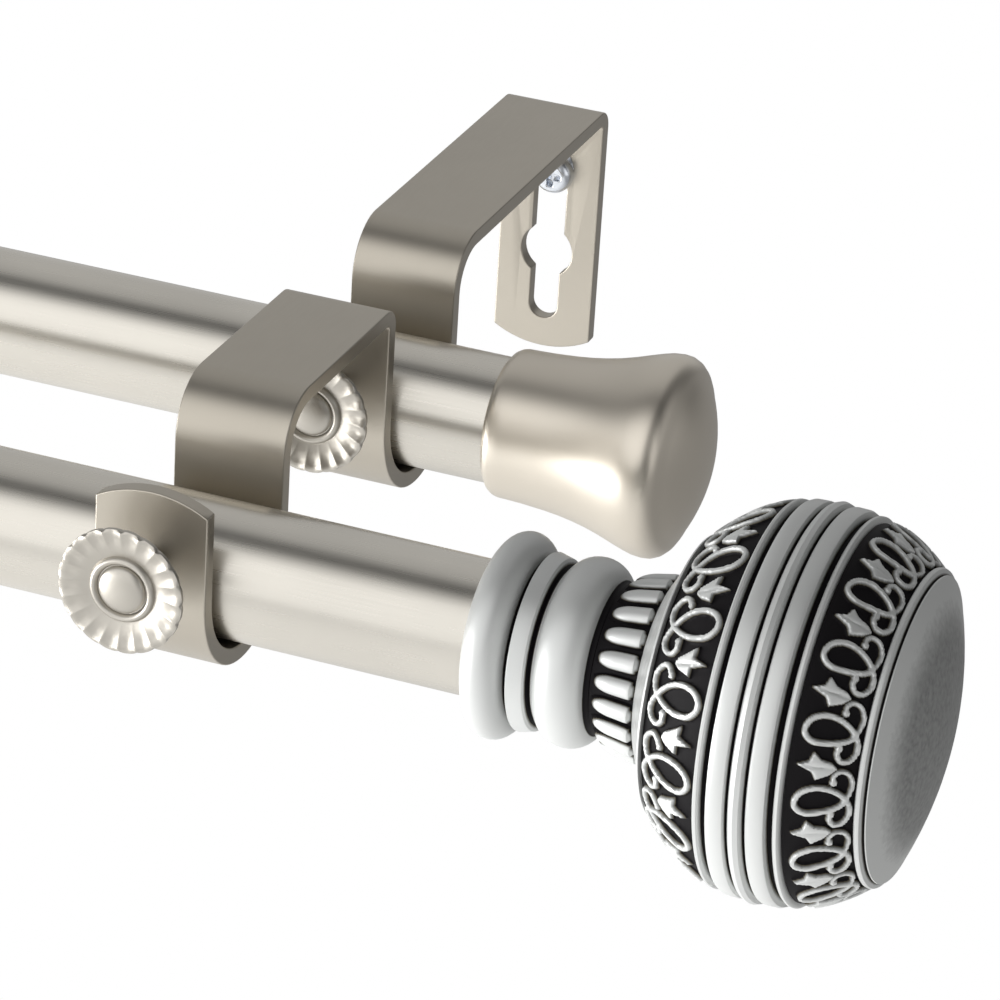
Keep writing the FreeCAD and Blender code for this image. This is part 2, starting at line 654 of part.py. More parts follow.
def finial_outline(at):
    """The finial's turned form, from the stud hole round to the top of the dome."""
    hole = S.stud_diameter / 2 + S.stud_gap
    hole_end = S.stud_depth + S.stud_hole_spare
    groove = S.groove_width / 2
    line = S.hoop_line_width / 2
    wide = S.hoop_groove_width / 2
    ridge = S.band_ridge_width
    return [
        (hole_end, ZERO),
        (hole_end, hole),
        (ZERO, hole),
        (ZERO, S.finial_seat_radius),
        (S.collar_width * 0.04, S.collar_edge_radius),
        (S.collar_width * 0.22, S.collar_radius - 0.9),
        (S.collar_width / 2, S.collar_radius),
        (S.collar_width * 0.78, S.collar_radius - 0.9),
        (S.collar_width, S.collar_edge_radius),
        (at["ring"] - groove, S.collar_edge_radius - S.groove_depth),
        (at["ring"], S.ring_radius),
        (at["ring"] + S.ring_width, S.ring_end_radius),
        (at["bead"] - groove, S.ring_end_radius - S.groove_depth),
        *rounded(at["bead"], S.bead_width, S.bead_edge_radius, S.bead_radius),
        (at["recess"] + groove, S.recess_radius),
        (at["neck"], S.neck_start_radius),
        (at["flange"], S.neck_end_radius),
        (at["flange"], S.flange_start_radius),
        (at["rim"], S.flange_end_radius),
        (at["rim"] + S.rim_width / 2, S.rim_radius),
        (at["left_band"], S.left_band_start),
        (at["left_band"] + S.left_band_width / 2, S.left_band_middle),
        (at["hoops"], S.left_band_end),
        (at["hoops"] + ridge * 0.3, S.band_ridge_radius),
        (at["hoops"] + ridge, S.band_ridge_radius),
        (at["first_hoop"] - wide, S.hoop_groove_radius),
        (at["first_hoop"], S.hoop_radius),
        (at["first_hoop"] + S.hoop_width, S.hoop_radius),
        (at["middle"] - line, S.hoop_line_radius),
        (at["middle"], S.hoop_radius),
        (at["middle"] + S.middle_ridge_width / 2, S.middle_ridge_radius),
        (at["middle"] + S.middle_ridge_width, S.hoop_radius),
        (at["second_hoop"] - line, S.hoop_line_radius),
        (at["second_hoop"], S.hoop_radius),
        (at["last_groove"], S.hoop_radius),
        (at["last_groove"] + wide, S.hoop_groove_radius),
        (at["right_band"] - ridge, S.band_ridge_radius),
        (at["right_band"] - ridge * 0.3, S.band_ridge_radius),
        (at["right_band"], S.right_band_start),
        (at["right_band"] + S.right_band_width / 2, S.right_band_middle),
        (at["dome_ridge"], S.right_band_end),
        (at["dome_ridge"] + S.dome_ridge_width / 2, S.dome_ridge_radius),
        (at["dome"], S.dome_line_radius),
        (at["dome"], S.dome_radius),
        dome(at["dome"], S.dome_radius, S.dome_height),
    ]


# One repeat of the scroll pattern, as parts of a slope's length and of the repeat's width. The first
# number grows towards the hoops. Beside the hoops lies a loop with its opening and a small bud, and on
# the other slope a leaf with three points and a curl.
HOOP_SIDE = (
    ((0.44, -0.10), (0.22, 0.26), (-0.24, 0.26), (-0.44, 0.0), (-0.20, -0.28), (0.26, -0.32)),
    ((0.20, -0.10), (0.06, 0.12), (-0.22, 0.04), (-0.06, -0.16)),
    ((0.36, 0.44), (0.08, 0.60), (-0.22, 0.50), (0.04, 0.40)),
)
OUTER_SIDE = (
    ((0.43, 0.17), (0.30, 0.34), (0.30, 0.52), (-0.06, 0.42), (-0.28, 0.18), (0.12, 0.06)),
    ((0.12, -0.36), (-0.30, -0.30), (-0.42, 0.02), (-0.18, -0.10), (0.12, -0.20)),
)


def polygon(sketch, corners):
    """Add a closed polygon to a sketch and hold each corner at sizes of the sheet."""
    first = sketch.GeometryCount
    points = [FreeCAD.Vector(x.value, y.value, 0) for x, y in corners]
    count = len(points)
    for index in range(count):
        sketch.addGeometry(Part.LineSegment(points[index], points[(index + 1) % count]), False)
    for index, (x, y) in enumerate(corners):
        before = first + (index - 1) % count
        sketch.addConstraint(Sketcher.Constraint("Coincident", before, 2, first + index, 1))
        hold(sketch, first + index, 1, x, y)


def scrolls(body, name, figures, repeats, station, width, start, end):
    """Flat-topped figures on one slope of the ball, from a first radius to a last one."""
    rise = end - start
    slope = root(width * width + rise * rise)
    pitch = (start + end) * math.pi / repeats
    sign = 1 if rise.value > 0 else -1
    angle = Dim(math.degrees(math.atan(abs(rise.value) / width.value)), "atan(abs(%s) / %s)" % (rise.text, width.text))
    low = (start + end) / 2 - S.scroll_root
    sketch = body.newObject("Sketcher::SketchObject", name + "_repeat")
    sketch.AttachmentSupport = [(origin_feature(body, "XY_Plane"), "")]
    sketch.MapMode = "FlatFace"
    base = FreeCAD.Vector((station + width / 2).value, 0, low.value)
    sketch.AttachmentOffset = FreeCAD.Placement(base, FreeCAD.Rotation(FreeCAD.Vector(0, -sign, 0), angle.value))
    sketch.setExpression("AttachmentOffset.Base.x", (station + width / 2).text)
    sketch.setExpression("AttachmentOffset.Base.z", low.text)
    sketch.setExpression("AttachmentOffset.Rotation.Angle", angle.text)
    for figure in figures:
        polygon(sketch, [(slope * (u * sign), pitch * v) for u, v in figure])
    pad = body.newObject("PartDesign::Pad", name + "_figures")
    pad.Profile = sketch
    bind(pad, Length=S.scroll_root * width / slope + S.scroll_height)
    body.Tip = pad
    repeat_round(body, [pad], repeats)


def finial(name, x, turn):
    """The cast finial: rounded collars, a neck of lobes and the banded ball with its dome."""
    at = finial_stations()
    body = turned(name, finial_outline(at))
    start = at["neck"] + S.lobe_start_radius * 0.4
    low = S.lobe_start_crest - S.lobe_start_radius
    high = S.lobe_end_crest - S.lobe_end_radius
    run = at["flange"] - start
    length = root(run * run + (high - low) * (high - low))
    angle = 90 - math.degrees(math.atan((high - low).value / run.value))
    lean = FreeCAD.Rotation(FreeCAD.Vector(0, 1, 0), angle)
    lobe = body.newObject("PartDesign::AdditiveCone", name + "_lobe")
    bind(lobe, Radius1=S.lobe_start_radius, Radius2=S.lobe_end_radius, Height=length)
    lobe.AttachmentSupport = [(origin_feature(body, "XY_Plane"), "")]
    lobe.MapMode = "Deactivated"
    place(lobe, start, ZERO, low, lean)
    lobe.setExpression("Placement.Rotation.Angle", "90deg - atan((%s) / %s)" % ((high - low).text, run.text))
    repeat_round(body, [lobe], S.neck_lobes)
    half = S.left_band_width / 2
    edges = (at["left_band"], at["left_band"] + half)
    radii = (S.left_band_start, S.left_band_middle, S.left_band_end)
    count = S.left_band_repeats
    scrolls(body, name + "_left_outer", OUTER_SIDE, count, edges[0], half, radii[0], radii[1])
    scrolls(body, name + "_left_inner", HOOP_SIDE, count, edges[1], half, radii[1], radii[2])
    half = S.right_band_width / 2
    edges = (at["right_band"], at["right_band"] + half)
    radii = (S.right_band_start, S.right_band_middle, S.right_band_end)
    count = S.right_band_repeats
    scrolls(body, name + "_right_inner", HOOP_SIDE, count, edges[0], half, radii[0], radii[1])
    scrolls(body, name + "_right_outer", OUTER_SIDE, count, edges[1], half, radii[1], radii[2])
    place(body, x, FRONT_Y, POLE_Z, turn)
    return body


def end_cap(name, x, turn):
    """The spun end cap: a thin flared shell with a lipped mouth and a domed face."""
    mouth = S.pole_diameter / 2 + S.cap_mouth_gap
    wall = S.cap_wall
    neck = S.cap_neck_radius
    shoulder = S.cap_shoulder_radius
    face = S.cap_face_radius
    outline = [
        (ZERO, mouth),
        (S.cap_mouth_chamfer * 0.4, neck - (neck - mouth) * 0.2),
        (S.cap_mouth_chamfer, neck),
        (S.cap_waist_station, S.cap_waist_radius),
        (S.cap_flare_station, S.cap_flare_radius),
        (S.cap_shoulder_station - wall * 2, shoulder - 0.5),
        (S.cap_shoulder_station, shoulder),
        (S.cap_shoulder_station + wall * 2, shoulder - 0.7),
        (S.cap_face_station - wall * 0.6, face + 1.4),
        (S.cap_face_station, face),
        dome(S.cap_face_station, face, S.cap_length - S.cap_face_station),
        (S.cap_length - wall, ZERO),
        (S.cap_face_station - wall, face - wall),
        (S.cap_shoulder_station - wall, shoulder - wall * 1.3),
        (S.cap_waist_station, S.cap_waist_radius - wall),
        (S.cap_lip, neck - wall),
        (S.cap_lip, mouth),
    ]
    body = turned(name, outline)
    place(body, x, REAR_Y, POLE_Z, turn)
    return body


def end_cap_liner(name, x, tube_diameter, turn):
    """The plastic cup inside an end cap that grips the rear tube's end."""
    outside = S.cap_neck_radius - S.cap_wall - S.liner_gap
    inside = tube_diameter / 2 + S.liner_gap
    floor_end = S.liner_depth + S.liner_floor
    outline = [
        (S.cap_lip, inside),
        (S.cap_lip, outside),
        (floor_end, outside),
        (floor_end, ZERO),
        (S.liner_depth, ZERO),
        (S.liner_depth, inside),
    ]
    body = turned(name, outline)
    place(body, x, REAR_Y, POLE_Z, turn)
    return body


def glide(name, x, y):
    """The plastic glide in an inner tube's hidden end, which guides it in the outer tube."""
    spigot = INNER_BORE_RADIUS - S.plug_gap
    rim = BORE_RADIUS - S.glide_gap
    outline = [
        (-S.glide_spigot, ZERO),
        (-S.glide_spigot, spigot),
        (ZERO, spigot),
        (ZERO, rim),
        (S.glide_rim, rim),
        (S.glide_rim, ZERO),
    ]
    body = turned(name, outline)
    place(body, x, y, POLE_Z)
    return body


def build():
    """Build every sub-part and return them in the order of the report's list."""
    nodes = []
    sides = (
        ("right", ZERO, ZERO, S.pole_diameter, STRAIGHT),
        ("left", LEFT_X, LEFT_LIFT, S.inner_pole_diameter, FACING_LEFT),
    )
    for side, x, lift, pole_diameter, turn in sides:
        nodes.append(bracket("bracket_" + side, x, lift))
        nodes.append(wall_screw("wall_screw_" + side, x + S.wall_screw_shift, S.wall_screw_height + lift + POLE_Z))
        for row, pole_y in (("front", FRONT_Y), ("rear", REAR_Y)):
            height = S.thumb_height + lift
            hub_y = pole_y - thumb_tip(pole_diameter, height) - S.thumb_reach
            nodes.append(thumb_screw("%s_thumb_screw_%s" % (row, side), x, hub_y, height + POLE_Z))
            nodes.append(rosette("%s_rosette_%s" % (row, side), x, hub_y, height + POLE_Z))
    stud_inside = S.plug_length - S.stud_hole_spare
    inner_front_end = FRONT_LEFT_END + S.inner_pole_length
    inner_rear_end = REAR_LEFT_END + S.inner_pole_length
    nodes.append(tube("front_outer_tube", OUTER_TUBES_END, FRONT_RIGHT_END, FRONT_Y, S.pole_diameter, S.pole_wall))
    nodes.append(tube("rear_outer_tube", OUTER_TUBES_END, REAR_RIGHT_END, REAR_Y, S.pole_diameter, S.pole_wall))
    nodes.append(
        tube("front_inner_tube", FRONT_LEFT_END, inner_front_end, FRONT_Y, S.inner_pole_diameter, S.inner_pole_wall)
    )
    nodes.append(
        tube("rear_inner_tube", REAR_LEFT_END, inner_rear_end, REAR_Y, S.inner_pole_diameter, S.inner_pole_wall)
    )
    nodes.append(glide("front_glide", inner_front_end, FRONT_Y))
    nodes.append(glide("rear_glide", inner_rear_end, REAR_Y))
    nodes.append(insert("tube_insert_right", FRONT_RIGHT_END, BORE_RADIUS, FACING_LEFT))
    nodes.append(insert("tube_insert_left", FRONT_LEFT_END, INNER_BORE_RADIUS, STRAIGHT))
    nodes.append(stud("finial_stud_right", FRONT_RIGHT_END - stud_inside, STRAIGHT))
    nodes.append(stud("finial_stud_left", FRONT_LEFT_END + stud_inside, FACING_LEFT))
    nodes.append(finial("finial_right", FRONT_RIGHT_END, STRAIGHT))
    nodes.append(finial("finial_left", FRONT_LEFT_END, FACING_LEFT))
    nodes.append(end_cap("end_cap_right", S.rear_overhang, STRAIGHT))
    nodes.append(end_cap("end_cap_left", LEFT_X - S.rear_overhang, FACING_LEFT))
    nodes.append(end_cap_liner("cap_liner_right", S.rear_overhang, S.pole_diameter, STRAIGHT))
    nodes.append(end_cap_liner("cap_liner_left", LEFT_X - S.rear_overhang, S.inner_pole_diameter, FACING_LEFT))
    return nodes


def check(nodes):
    """Stop with a message if anything in the document failed or a sub-part isn't one valid solid."""
    for item in DOC.Objects:
        if "Invalid" in item.State or "Error" in item.State:
            raise RuntimeError("%s failed: %s" % (item.Name, item.State))
    for node in nodes:
        shape = node.Shape
        if shape.isNull() or not shape.isValid() or len(shape.Solids) != 1:
            raise RuntimeError("%s is not one valid solid" % node.Label)


def main():
    """Build the document and write one file for each sub-part."""
    nodes = build()
    for node in nodes:
        node.Label = node.Name
    DOC.recompute()
    check(nodes)
    os.makedirs(NODE_FOLDER, exist_ok=True)
    for node in nodes:
        node.Shape.exportStep(os.path.join(NODE_FOLDER, node.Label + ".step"))
        print("%-24s %9.1f mm3" % (node.Label, node.Shape.Volume))
    sizes = (INNER_SLACK.value, LEFT_LIFT.value)
    print("inner tube slack %.2f, left bracket lift %.2f" % sizes)


main()
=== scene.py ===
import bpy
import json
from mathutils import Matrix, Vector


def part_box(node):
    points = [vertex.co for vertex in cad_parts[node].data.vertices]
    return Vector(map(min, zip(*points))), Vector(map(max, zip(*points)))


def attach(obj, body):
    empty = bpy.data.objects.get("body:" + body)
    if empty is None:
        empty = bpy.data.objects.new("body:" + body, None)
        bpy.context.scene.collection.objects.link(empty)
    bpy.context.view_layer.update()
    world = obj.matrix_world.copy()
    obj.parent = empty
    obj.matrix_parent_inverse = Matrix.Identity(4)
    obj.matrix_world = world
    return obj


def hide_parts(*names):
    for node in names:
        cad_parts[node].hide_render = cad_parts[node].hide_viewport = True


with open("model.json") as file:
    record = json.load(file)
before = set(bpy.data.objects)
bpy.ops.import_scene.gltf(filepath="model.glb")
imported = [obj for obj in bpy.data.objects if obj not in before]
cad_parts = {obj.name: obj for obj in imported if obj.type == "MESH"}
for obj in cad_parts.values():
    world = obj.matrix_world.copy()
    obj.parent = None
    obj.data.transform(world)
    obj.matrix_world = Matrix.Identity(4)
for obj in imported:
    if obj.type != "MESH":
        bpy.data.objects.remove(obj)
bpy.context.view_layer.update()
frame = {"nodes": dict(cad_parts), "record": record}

"""Looks of a double curtain pole.

The CAD frame carries the plain forms. Here every turned piece that shows is made again as a fine
surface of revolution with the same profile, the two finials get their carved scroll bands and lobed
necks, the strap brackets get eased edges, and each surface gets a finish.

All local work is in millimetres. A turned piece is made along its own X axis and then brought to its
place, so that its object stays at the origin.
"""

import json
import logging
import math
from dataclasses import dataclass, field
from enum import Enum
from typing import Dict, List, Optional, Sequence, Tuple

import bmesh
import bpy
import numpy as np
from mathutils import Euler, Matrix, Vector

LOG = logging.getLogger("curtain_pole")
MM = 0.001
TURNED_CREASE = 38.0
STRAP_CREASE = 60.0

Rows = np.ndarray
Colour = Tuple[float, float, float]


class Facing(Enum):
    """Which way a turned piece's own X axis points in the row frame, as a turn about Z."""

    RIGHT = 0.0
    LEFT = 180.0
    FRONT = -90.0
    WALL = 90.0

    def matrix(self) -> np.ndarray:
        """Returns:
        The rotation as a 3 by 3 array.
        """
        angle = math.radians(self.value)
        cos, sin = math.cos(angle), math.sin(angle)
        return np.array([[cos, -sin, 0.0], [sin, cos, 0.0], [0.0, 0.0, 1.0]])


class Side(Enum):
    """The two ends of the pole, with the way that each one's end pieces face."""

    RIGHT = "right"
    LEFT = "left"

    @property
    def facing(self) -> Facing:
        """The way from the middle of the pole to this end."""
        return Facing.RIGHT if self is Side.RIGHT else Facing.LEFT


class Row(Enum):
    """The two poles."""

    FRONT = "front"
    REAR = "rear"


def fill_ramp(node: bpy.types.Node, stops: Sequence[Tuple[float, Colour]]) -> None:
    """Sets the stops of a colour ramp.

    Args:
        node: the ramp's node, as it comes.
        stops: place and colour of each stop.
    """
    elements = node.color_ramp.elements
    while len(elements) < len(stops):
        elements.new(0.5)
    for element, (place, colour) in zip(elements, stops):
        element.position = place
        element.color = (*colour, 1.0)


class Graph:
    """A material's node graph, built with constant numbers on its sockets."""

    def __init__(self, name: str) -> None:
        """Args:
            name: the material's name.
        """
        self.material = bpy.data.materials.new(name)
        self.material.use_nodes = True
        self.tree = self.material.node_tree
        self.tree.nodes.clear()
        self.output = self.add("ShaderNodeOutputMaterial")

    def add(self, kind: str, **settings) -> bpy.types.Node:
        """Adds a node.

        Args:
            kind: the node's type.
            settings: properties to set on it.

        Returns:
            The node.
        """
        node = self.tree.nodes.new(kind)
        for key, value in settings.items():
            setattr(node, key, value)
        return node

    def link(self, source: bpy.types.NodeSocket, target: bpy.types.NodeSocket) -> None:
        """Joins an output socket to an input socket."""
        self.tree.links.new(source, target)

    def ramp(self, source: bpy.types.NodeSocket,
             stops: Sequence[Tuple[float, Colour]]) -> bpy.types.NodeSocket:
        """Maps a number to a colour.

        Args:
            source: the socket that gives the number.
            stops: place and colour of each stop.

        Returns:
            The colour socket.
        """
        node = self.add("ShaderNodeValToRGB")
        fill_ramp(node, stops)
        self.link(source, node.inputs["Fac"])
        return node.outputs["Color"]

    def noise(self, scale: float, stretch: Tuple[float, float, float] = (1.0, 1.0, 1.0),
              detail: float = 4.0) -> bpy.types.NodeSocket:
        """Noise over Object coordinates.

        Args:
            scale: cells per metre.
            stretch: factor on each axis; a small one draws the grain out along that axis.
            detail: octaves.

        Returns:
            The socket with the noise, from 0 to 1.
        """
        coordinates = self.add("ShaderNodeTexCoord")
        mapping = self.add("ShaderNodeMapping")
        mapping.inputs["Scale"].default_value = stretch
        noise = self.add("ShaderNodeTexNoise")
        noise.inputs["Scale"].default_value = scale
        noise.inputs["Detail"].default_value = detail
        self.link(coordinates.outputs["Object"], mapping.inputs["Vector"])
        self.link(mapping.outputs["Vector"], noise.inputs["Vector"])
        return noise.outputs["Fac"]

    def span(self, source: bpy.types.NodeSocket, low: float, high: float) -> bpy.types.NodeSocket:
        """Brings a number from 0..1 into a range and returns its socket."""
        node = self.add("ShaderNodeMapRange")
        node.inputs["To Min"].default_value = low
        node.inputs["To Max"].default_value = high
        self.link(source, node.inputs["Value"])
        return node.outputs["Result"]

    def bump(self, source: bpy.types.NodeSocket, strength: float, distance: float) -> bpy.types.NodeSocket:
        """Turns a height into a normal and returns its socket."""
        node = self.add("ShaderNodeBump")
        node.inputs["Strength"].default_value = strength
        node.inputs["Distance"].default_value = distance
        self.link(source, node.inputs["Height"])
        return node.outputs["Normal"]


@dataclass(frozen=True)
class Metal:
    """Plated steel: one colour, a soft roughness that wanders a little, and a fine drawn grain.

    Attributes:
        name: the material's name.
        colour: its reflection.
        roughness: lowest and highest roughness.
        stretch: how the grain is drawn out on each axis.
        grain: strength of the grain as bump.
    """

    name: str
    colour: Colour
    roughness: Tuple[float, float]
    stretch: Tuple[float, float, float] = (0.03, 1.0, 1.0)
    grain: float = 0.04

    def build(self) -> bpy.types.Material:
        """Returns:
        The material.
        """
        graph = Graph(self.name)
        shader = graph.add("ShaderNodeBsdfPrincipled")
        shader.inputs["Metallic"].default_value = 1.0
        cloud = graph.noise(38.0, detail=3.0)
        dim = tuple(0.94 * value for value in self.colour)
        graph.link(graph.ramp(cloud, ((0.3, dim), (0.7, self.colour))), shader.inputs["Base Color"])
        fine = graph.noise(2600.0, self.stretch, detail=5.0)
        graph.link(graph.span(fine, *self.roughness), shader.inputs["Roughness"])
        graph.link(graph.bump(fine, self.grain, 0.00008), shader.inputs["Normal"])
        graph.link(shader.outputs["BSDF"], graph.output.inputs["Surface"])
        return graph.material


@dataclass(frozen=True)
class AntiqueCast:
    """Silver paint on a casting with a black wash left in its recesses.

    The mesh carries the attribute named in the Attribute node below: 0 where the black stays, 1 where it
    was wiped off, and between the two a grey film. On the finial's dome that grey film is painted shade,
    not wash.

    Attributes:
        name: the material's name.
        silver: the paint on raised places.
        black: the wash.
        stain: the thin brown edge of the wash.
        speckle: how far the ragged noise moves the wash's edge.
    """

    name: str
    silver: Colour
    black: Colour
    stain: Colour
    speckle: float = 0.22

    def build(self) -> bpy.types.Material:
        """Returns:
        The material.
        """
        graph = Graph(self.name)
        shader = graph.add("ShaderNodeBsdfPrincipled")
        attribute = graph.add("ShaderNodeAttribute", attribute_name="wash_and_shade")
        ragged = graph.noise(900.0, detail=6.0)
        rub = graph.add("ShaderNodeMath", operation="MULTIPLY_ADD")
        graph.link(ragged, rub.inputs[0])
        rub.inputs[1].default_value = self.speckle
        graph.link(attribute.outputs["Fac"], rub.inputs[2])
        level = graph.add("ShaderNodeMath", operation="SUBTRACT")
        graph.link(rub.outputs["Value"], level.inputs[0])
        level.inputs[1].default_value = 0.5 * self.speckle
        dim = tuple(0.32 * value for value in self.silver)
        stops = ((0.24, self.black), (0.40, self.stain), (0.56, dim), (0.90, self.silver))
        graph.link(graph.ramp(level.outputs["Value"], stops), shader.inputs["Base Color"])
        metallic = graph.ramp(level.outputs["Value"], ((0.5, (0.0,) * 3), (0.9, (0.35,) * 3)))
        graph.link(metallic, shader.inputs["Metallic"])
        rough = graph.ramp(level.outputs["Value"], ((0.3, (0.6,) * 3), (0.6, (0.42,) * 3)))
        graph.link(rough, shader.inputs["Roughness"])
        gloss = graph.ramp(level.outputs["Value"], ((0.3, (0.12,) * 3), (0.6, (0.5,) * 3)))
        graph.link(gloss, shader.inputs["Specular IOR Level"])
        graph.link(graph.bump(graph.noise(1100.0, detail=5.0), 0.10, 0.00006), shader.inputs["Normal"])
        graph.link(shader.outputs["BSDF"], graph.output.inputs["Surface"])
        return graph.material


@dataclass(frozen=True)
class Moulded:
    """Moulded plastic with a faint grain.

    Attributes:
        name: the material's name.
        colour: its colour.
        roughness: its roughness.
    """

    name: str
    colour: Colour
    roughness: float = 0.45

    def build(self) -> bpy.types.Material:
        """Returns:
        The material.
        """
        graph = Graph(self.name)
        shader = graph.add("ShaderNodeBsdfPrincipled")
        dim = tuple(0.9 * value for value in self.colour)
        tone = graph.ramp(graph.noise(400.0), ((0.3, dim), (0.7, self.colour)))
        graph.link(tone, shader.inputs["Base Color"])
        shader.inputs["Roughness"].default_value = self.roughness
        graph.link(graph.bump(graph.noise(1500.0), 0.1, 0.0001), shader.inputs["Normal"])
        graph.link(shader.outputs["BSDF"], graph.output.inputs["Surface"])
        return graph.material


FINISHES = {
    "satin_nickel": Metal("satin_nickel", (0.67, 0.64, 0.58), (0.24, 0.33)),
    "champagne_nickel": Metal("champagne_nickel", (0.66, 0.61, 0.53), (0.33, 0.40), (1.0, 1.0, 1.0), 0.012),
    "pressed_nickel": Metal("pressed_nickel", (0.47, 0.445, 0.40), (0.34, 0.42), (1.0, 1.0, 1.0), 0.02),
    "bracket_nickel": Metal("bracket_nickel", (0.46, 0.425, 0.365), (0.32, 0.42), (1.0, 0.08, 0.08), 0.04),
    "zinc": Metal("zinc", (0.74, 0.77, 0.82), (0.18, 0.28), (1.0, 1.0, 1.0), 0.03),
    "antique_silver": AntiqueCast(
        "antique_silver", (0.64, 0.65, 0.64), (0.006, 0.005, 0.006), (0.13, 0.115, 0.08)
    ),
    "grey_plastic": Moulded("grey_plastic", (0.16, 0.16, 0.165)),
    "white_plastic": Moulded("white_plastic", (0.78, 0.78, 0.76)),
}


class Paintbox:
    """Builds each finish once and hands it out by its slot name."""

    def __init__(self) -> None:
        self._made: Dict[str, bpy.types.Material] = {}

    def get(self, slot: str) -> bpy.types.Material:
        """Args:
            slot: the record's material slot.

        Returns:
            The finished material.
        """
        if slot not in self._made:
            self._made[slot] = FINISHES[slot].build()
        return self._made[slot]


def smoothstep(value: np.ndarray) -> np.ndarray:
    """3 v^2 - 2 v^3 with v held in 0..1."""
    held = np.clip(value, 0.0, 1.0)
    return held * held * (3.0 - 2.0 * held)


@dataclass
class Turned:
    """A surface of revolution that may swell, be notched or be carved.

    Attributes:
        station: place of each grid point along the axis, in mm, as rows by columns.
        radius: distance of each grid point from the axis, in mm.
        closed: True if the last row joins the first, as on a tube.
        wash_and_shade: how clean each point is wiped of the black wash, with painted shade on the finial's
            dome, or None.
    """

    station: np.ndarray
    radius: np.ndarray
    closed: bool = False
    wash_and_shade: Optional[np.ndarray] = None

    @classmethod
    def from_profile(cls, profile: Sequence[Tuple[float, float]], columns: int,
                     closed: bool = False) -> "Turned":
        """Args:
            profile: (station, radius) of each row, from the axis at the back, out and round to the front.
            columns: points round the axis.
            closed: True if the profile is a loop.

        Returns:
            The plain turned surface.
        """
        rows = np.array(profile, dtype=float)
        shape = (len(rows), columns)
        station = np.broadcast_to(rows[:, :1], shape).copy()
        radius = np.broadcast_to(rows[:, 1:2], shape).copy()
        return cls(station, radius, closed)

    @property
    def angles(self) -> np.ndarray:
        """Angle of each column about the axis."""
        columns = self.station.shape[1]
        return np.arange(columns) * (2.0 * math.pi / columns)

    def points(self) -> np.ndarray:
        """Returns:
        The grid points in the piece's own frame, in mm, one per row.
        """
        turn = np.broadcast_to(self.angles, self.station.shape)
        local = np.stack((self.station, self.radius * np.cos(turn), self.radius * np.sin(turn)), axis=-1)
        return local.reshape(-1, 3)

    def mesh(self, name: str, centre: Vector, facing: Facing) -> bpy.types.Mesh:
        """Makes the mesh of this surface alone; see joined_mesh."""
        return joined_mesh(name, [self], centre, facing)


def ring_faces(lower: np.ndarray, upper: np.ndarray) -> np.ndarray:
    """Faces between two neighbouring rows of points.

    Where one row has more points than the other, each face takes several points of the finer row.
    Each face runs round and then along, so it faces outwards.

    Args:
        lower: indices of the first row's points.
        upper: indices of the next row's points; one count divides the other.

    Returns:
        The corners of each face, one face per row.
    """
    coarse = min(len(lower), len(upper))
    pieces = []
    for row, backwards in ((lower, False), (upper, True)):
        share = len(row) // coarse
        picks = (np.arange(coarse)[:, None] * share + np.arange(share + 1)[None, :]) % len(row)
        pieces.append(row[picks[:, ::-1] if backwards else picks])
    return np.concatenate(pieces, axis=1)


def joined_mesh(name: str, sections: Sequence[Turned], centre: Vector, facing: Facing) -> bpy.types.Mesh:
    """Makes one closed mesh from turned sections that follow each other along a profile.

    Rows whose radius is nothing at either end become one point.

    Args:
        name: the mesh's name.
        sections: the sections in order; a closed one stands alone.
        centre: the row frame's point, in metres, that the local origin goes to.
        facing: which way the local X axis points.

    Returns:
        The mesh.
    """
    rows: List[np.ndarray] = []
    first = 0
    for section in sections:
        count, columns = section.station.shape
        rows.extend(first + np.arange(count * columns).reshape(count, columns))
        first += count * columns
    if sections[0].closed:
        rows.append(rows[0])
    elif float(sections[0].radius[0].max()) < 1e-6:
        rows[0] = np.full_like(rows[0], rows[0][0])
    if not sections[0].closed and float(sections[-1].radius[-1].max()) < 1e-6:
        rows[-1] = np.full_like(rows[-1], rows[-1][0])
    groups: Dict[int, List[np.ndarray]] = {}
    for lower, upper in zip(rows[:-1], rows[1:]):
        faces = ring_faces(lower, upper)
        repeated = faces == np.roll(faces, 1, axis=1)
        flat = repeated.any(axis=1)
        groups.setdefault(faces.shape[1], []).append(faces[~flat])
        if flat.any():
            groups.setdefault(3, []).append(faces[flat][~repeated[flat]].reshape(-1, 3))
    corners = np.concatenate([np.concatenate(batch).ravel() for batch in groups.values()])
    sizes = np.concatenate([np.full(sum(map(len, batch)), size) for size, batch in groups.items()])
    points = np.concatenate([section.points() for section in sections])
    points = points @ facing.matrix().T * MM + np.array(centre)
    used, corners = np.unique(corners, return_inverse=True)
    mesh = bpy.data.meshes.new(name)
    mesh.vertices.add(len(used))
    mesh.vertices.foreach_set("co", points[used].astype(np.float32).ravel())
    mesh.loops.add(len(corners))
    mesh.loops.foreach_set("vertex_index", corners.astype(np.int32).ravel())
    mesh.polygons.add(len(sizes))
    starts = np.concatenate(([0], np.cumsum(sizes)[:-1]))
    mesh.polygons.foreach_set("loop_start", starts.astype(np.int32))
    mesh.update(calc_edges=True)
    mesh.validate()
    if sections[0].wash_and_shade is not None:
        wash_and_shade = np.concatenate([section.wash_and_shade.reshape(-1) for section in sections])
        layer = mesh.attributes.new("wash_and_shade", "FLOAT", "POINT")
        layer.data.foreach_set("value", wash_and_shade[used].astype(np.float32))
    mesh.polygons.foreach_set("use_smooth", np.ones(len(mesh.polygons), dtype=bool))
    mesh.set_sharp_from_angle(angle=math.radians(TURNED_CREASE))
    return mesh


